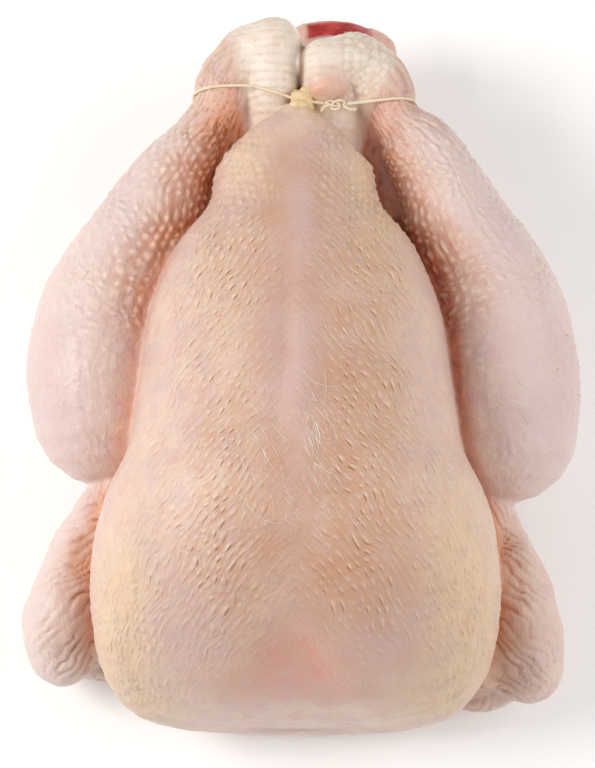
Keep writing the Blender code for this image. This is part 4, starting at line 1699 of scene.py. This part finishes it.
@dataclass
class Quills:
    """The stubs of small feathers left in the skin, in mm."""

    length: float = 1.3
    thickness: float = 0.16
    lean: float = 0.7
    lowest: float = 3.0
    seed: int = 23

    def build(self, bird: bpy.types.Object) -> bpy.types.Object:
        """Picks places on the skin near each patch and stands a quill on each."""
        chance = np.random.default_rng(self.seed)
        skin = places(bird.data) / MILLIMETRE - (*CENTRE_SHIFT, 0)
        facing = normals(bird.data)
        chosen = []
        for middle, spread, count in QUILL_PATCHES:
            off = (skin - middle) / spread
            near = np.nonzero(((off**2).sum(axis=1) < 1) & (skin[:, 2] > self.lowest))[0]
            if len(near):
                chosen.append(chance.choice(near, count))
        picked = np.concatenate(chosen)
        lean = facing[picked] + (0, -self.lean, 0) + chance.normal(size=(len(picked), 3)) * 0.25
        quills = polyline("quill_stubs", [skin[picked]])
        stored = quills.data.attributes.new("facing", "FLOAT_VECTOR", "POINT")
        stored.data.foreach_set("vector", lean.astype(np.float32).ravel())
        run_nodes(
            quills,
            quill_group(),
            length=self.length * MILLIMETRE,
            thickness=self.thickness * MILLIMETRE,
            seed=self.seed,
            finish=HairFinish().material(),
        )
        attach(quills, "root")
        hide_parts("chicken")
        LOG.info("%s: %d stubs, %d faces", quills.name, len(picked), len(quills.data.polygons))
        return quills


@dataclass
class Bird:
    """The whole skin as one closed mesh."""

    voxel: float = 0.8
    smoothing: int = 9
    triangles: int = 190000

    def build(self, tie: Tie) -> bpy.types.Object:
        """Joins the forms, draws one skin over them, lays the tie and gives the skin its tints."""
        verts: list = []
        faces: list = []
        shell(TORSO.rings(), verts, faces)
        for limb in LIMBS:
            shell(limb.rings(), verts, faces)
        mesh = bpy.data.meshes.new("bird_skin")
        mesh.from_pydata(verts, [], faces)
        bird = bpy.data.objects.new("bird_skin", mesh)
        bpy.context.scene.collection.objects.link(bird)
        self.draw_skin(bird)
        points = places(bird.data)
        height, _ = Skin(points).relief()
        lifted = points + normals(bird.data) * height[:, None]
        tie.lay(lifted)
        lifted = tie.groove(lifted)
        bird.data.vertices.foreach_set("co", lifted.astype(np.float32).ravel())
        bird.data.update()
        thin = bird.modifiers.new("thin", "DECIMATE")
        thin.ratio = self.triangles / (2 * len(bird.data.polygons))
        thin.use_collapse_triangulate = True
        apply_modifiers(bird)
        self.rest(bird)
        self.tint(bird)
        self.place(bird)
        LOG.info("%s: %d triangles", bird.name, len(bird.data.polygons))
        return bird

    def draw_skin(self, bird: bpy.types.Object) -> None:
        """One even skin over the overlapping forms."""
        remesh = bird.modifiers.new("skin", "REMESH")
        remesh.mode = "VOXEL"
        remesh.voxel_size = self.voxel
        even = bird.modifiers.new("even", "SMOOTH")
        even.factor = 0.5
        even.iterations = self.smoothing
        apply_modifiers(bird)

    def rest(self, bird: bpy.types.Object) -> None:
        """Cuts the back off flat at the table's level."""
        body = bmesh.new()
        body.from_mesh(bird.data)
        geometry = body.verts[:] + body.edges[:] + body.faces[:]
        bmesh.ops.bisect_plane(body, geom=geometry, plane_co=(0, 0, 0), plane_no=(0, 0, -1), clear_outer=True)
        bmesh.ops.holes_fill(body, edges=[e for e in body.edges if e.is_boundary])
        bmesh.ops.triangulate(body, faces=[f for f in body.faces if len(f.verts) > 3])
        bmesh.ops.recalc_face_normals(body, faces=body.faces)
        body.to_mesh(bird.data)
        body.free()

    def tint(self, bird: bpy.types.Object) -> None:
        """Stores where each tint and relief shows, for the material to read."""
        skin = Skin(places(bird.data))
        u, v, whole = skin.lattice
        share = skin.masks()
        share |= {"whole": whole, "bumps": share["bumps"] * whole, "dashes": share["dashes"] * whole}
        _, share["hollow"] = skin.relief()
        for name, channels in STORED.items():
            self.store(bird, name, *(share[channel] for channel in channels))
        vector = bird.data.attributes.new("lattice", "FLOAT_VECTOR", "POINT")
        vector.data.foreach_set("vector", np.stack([u, v, 0 * u], axis=1).astype(np.float32).ravel())

    @staticmethod
    def store(bird: bpy.types.Object, name: str, *channels: np.ndarray) -> None:
        """Stores three or four masks as one colour a vertex."""
        colour = bird.data.attributes.new(name, "FLOAT_COLOR", "POINT")
        values = np.stack([*channels, np.ones_like(channels[0])][:4], axis=1)
        colour.data.foreach_set("color", values.astype(np.float32).ravel())

    @staticmethod
    def place(bird: bpy.types.Object) -> None:
        """Brings the mesh from mm where it is drawn to metres about the bird's middle."""
        shift = Matrix.Translation((*CENTRE_SHIFT, 0))
        bird.data.transform(Matrix.Scale(MILLIMETRE, 4) @ shift)
        bird.data.shade_smooth()

    def dress(self, bird: bpy.types.Object) -> None:
        """Gives the skin its material and its place in the frame."""
        bird.data.materials.clear()
        bird.data.materials.append(SkinFinish().material())
        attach(bird, "root")
        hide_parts("chicken")


@dataclass
class Studio:
    """A white floor, soft light from the upper left and the camera."""

    elevation: float = 76.0
    distance: float = 1.0
    lens: float = 134.4
    target: tuple = (-1.2, -3.4, 58.0)

    def build(self) -> None:
        """Adds the floor, the lights, the world and the camera."""
        self.floor()
        self.lights()
        self.camera()

    def floor(self) -> None:
        """A plain white floor."""
        mesh = bpy.data.meshes.new("floor")
        mesh.from_pydata([(-3, -3, 0), (3, -3, 0), (3, 3, 0), (-3, 3, 0)], [], [(0, 1, 2, 3)])
        floor = bpy.data.objects.new("floor", mesh)
        floor.location.z = -0.0004
        bpy.context.scene.collection.objects.link(floor)
        made = bpy.data.materials.new("floor_white")
        made.use_nodes = True
        shader = made.node_tree.nodes["Principled BSDF"]
        shader.inputs["Base Color"].default_value = srgb(250, 250, 250)
        shader.inputs["Roughness"].default_value = 0.9
        shader.inputs["Emission Color"].default_value = (1.0, 1.0, 1.0, 1.0)
        shader.inputs["Emission Strength"].default_value = 0.12
        mesh.materials.append(made)

    def lights(self) -> None:
        """A large soft key light from the upper left, a weak fill and an even white sky."""
        for name, place, size, power in (
            ("key", (-0.92, 0.02, 0.85), 0.55, 9.9),
            ("fill", (0.95, -0.06, 0.75), 1.0, 6.3),
        ):
            light = bpy.data.lights.new(name, "AREA")
            light.energy = power
            light.size = size
            light.color = (1.0, 0.985, 0.96)
            obj = bpy.data.objects.new(name, light)
            obj.location = place
            aim = Vector((0, 0, 0.05)) - obj.location
            obj.rotation_euler = aim.to_track_quat("-Z", "Y").to_euler()
            bpy.context.scene.collection.objects.link(obj)
        world = bpy.data.worlds.new("sky")
        world.use_nodes = True
        sky = world.node_tree.nodes["Background"]
        sky.inputs["Color"].default_value = (1.0, 0.99, 0.98, 1.0)
        sky.inputs["Strength"].default_value = 0.42
        bpy.context.scene.world = world
        bpy.context.scene.view_settings.view_transform = "Standard"

    def camera(self) -> None:
        """The camera, which looks down over the neck end."""
        camera = bpy.data.cameras.new("camera")
        camera.lens = self.lens
        obj = bpy.data.objects.new("camera", camera)
        rise = math.radians(self.elevation)
        back = Vector((0, -math.cos(rise), math.sin(rise)))
        target = Vector(self.target) + Vector((*CENTRE_SHIFT, 0))
        obj.location = target * MILLIMETRE + back * self.distance
        obj.rotation_euler = (-back).to_track_quat("-Z", "Y").to_euler()
        bpy.context.scene.collection.objects.link(obj)
        bpy.context.scene.camera = obj


def main() -> None:
    """Builds every piece, dresses it and hands it to the frame."""
    logging.basicConfig(level=logging.INFO, format="%(message)s")
    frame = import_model()
    LOG.info("frame: %s", ", ".join(sorted(frame["nodes"])))
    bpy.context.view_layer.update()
    Studio().build()
    bird, tie = Bird(), Tie()
    skin = bird.build(tie)
    bird.dress(skin)
    tie.build()
    Hairs().build(skin)
    Fat().build(skin, tie)
    Quills().build(skin)


if __name__ == "__main__":
    main()
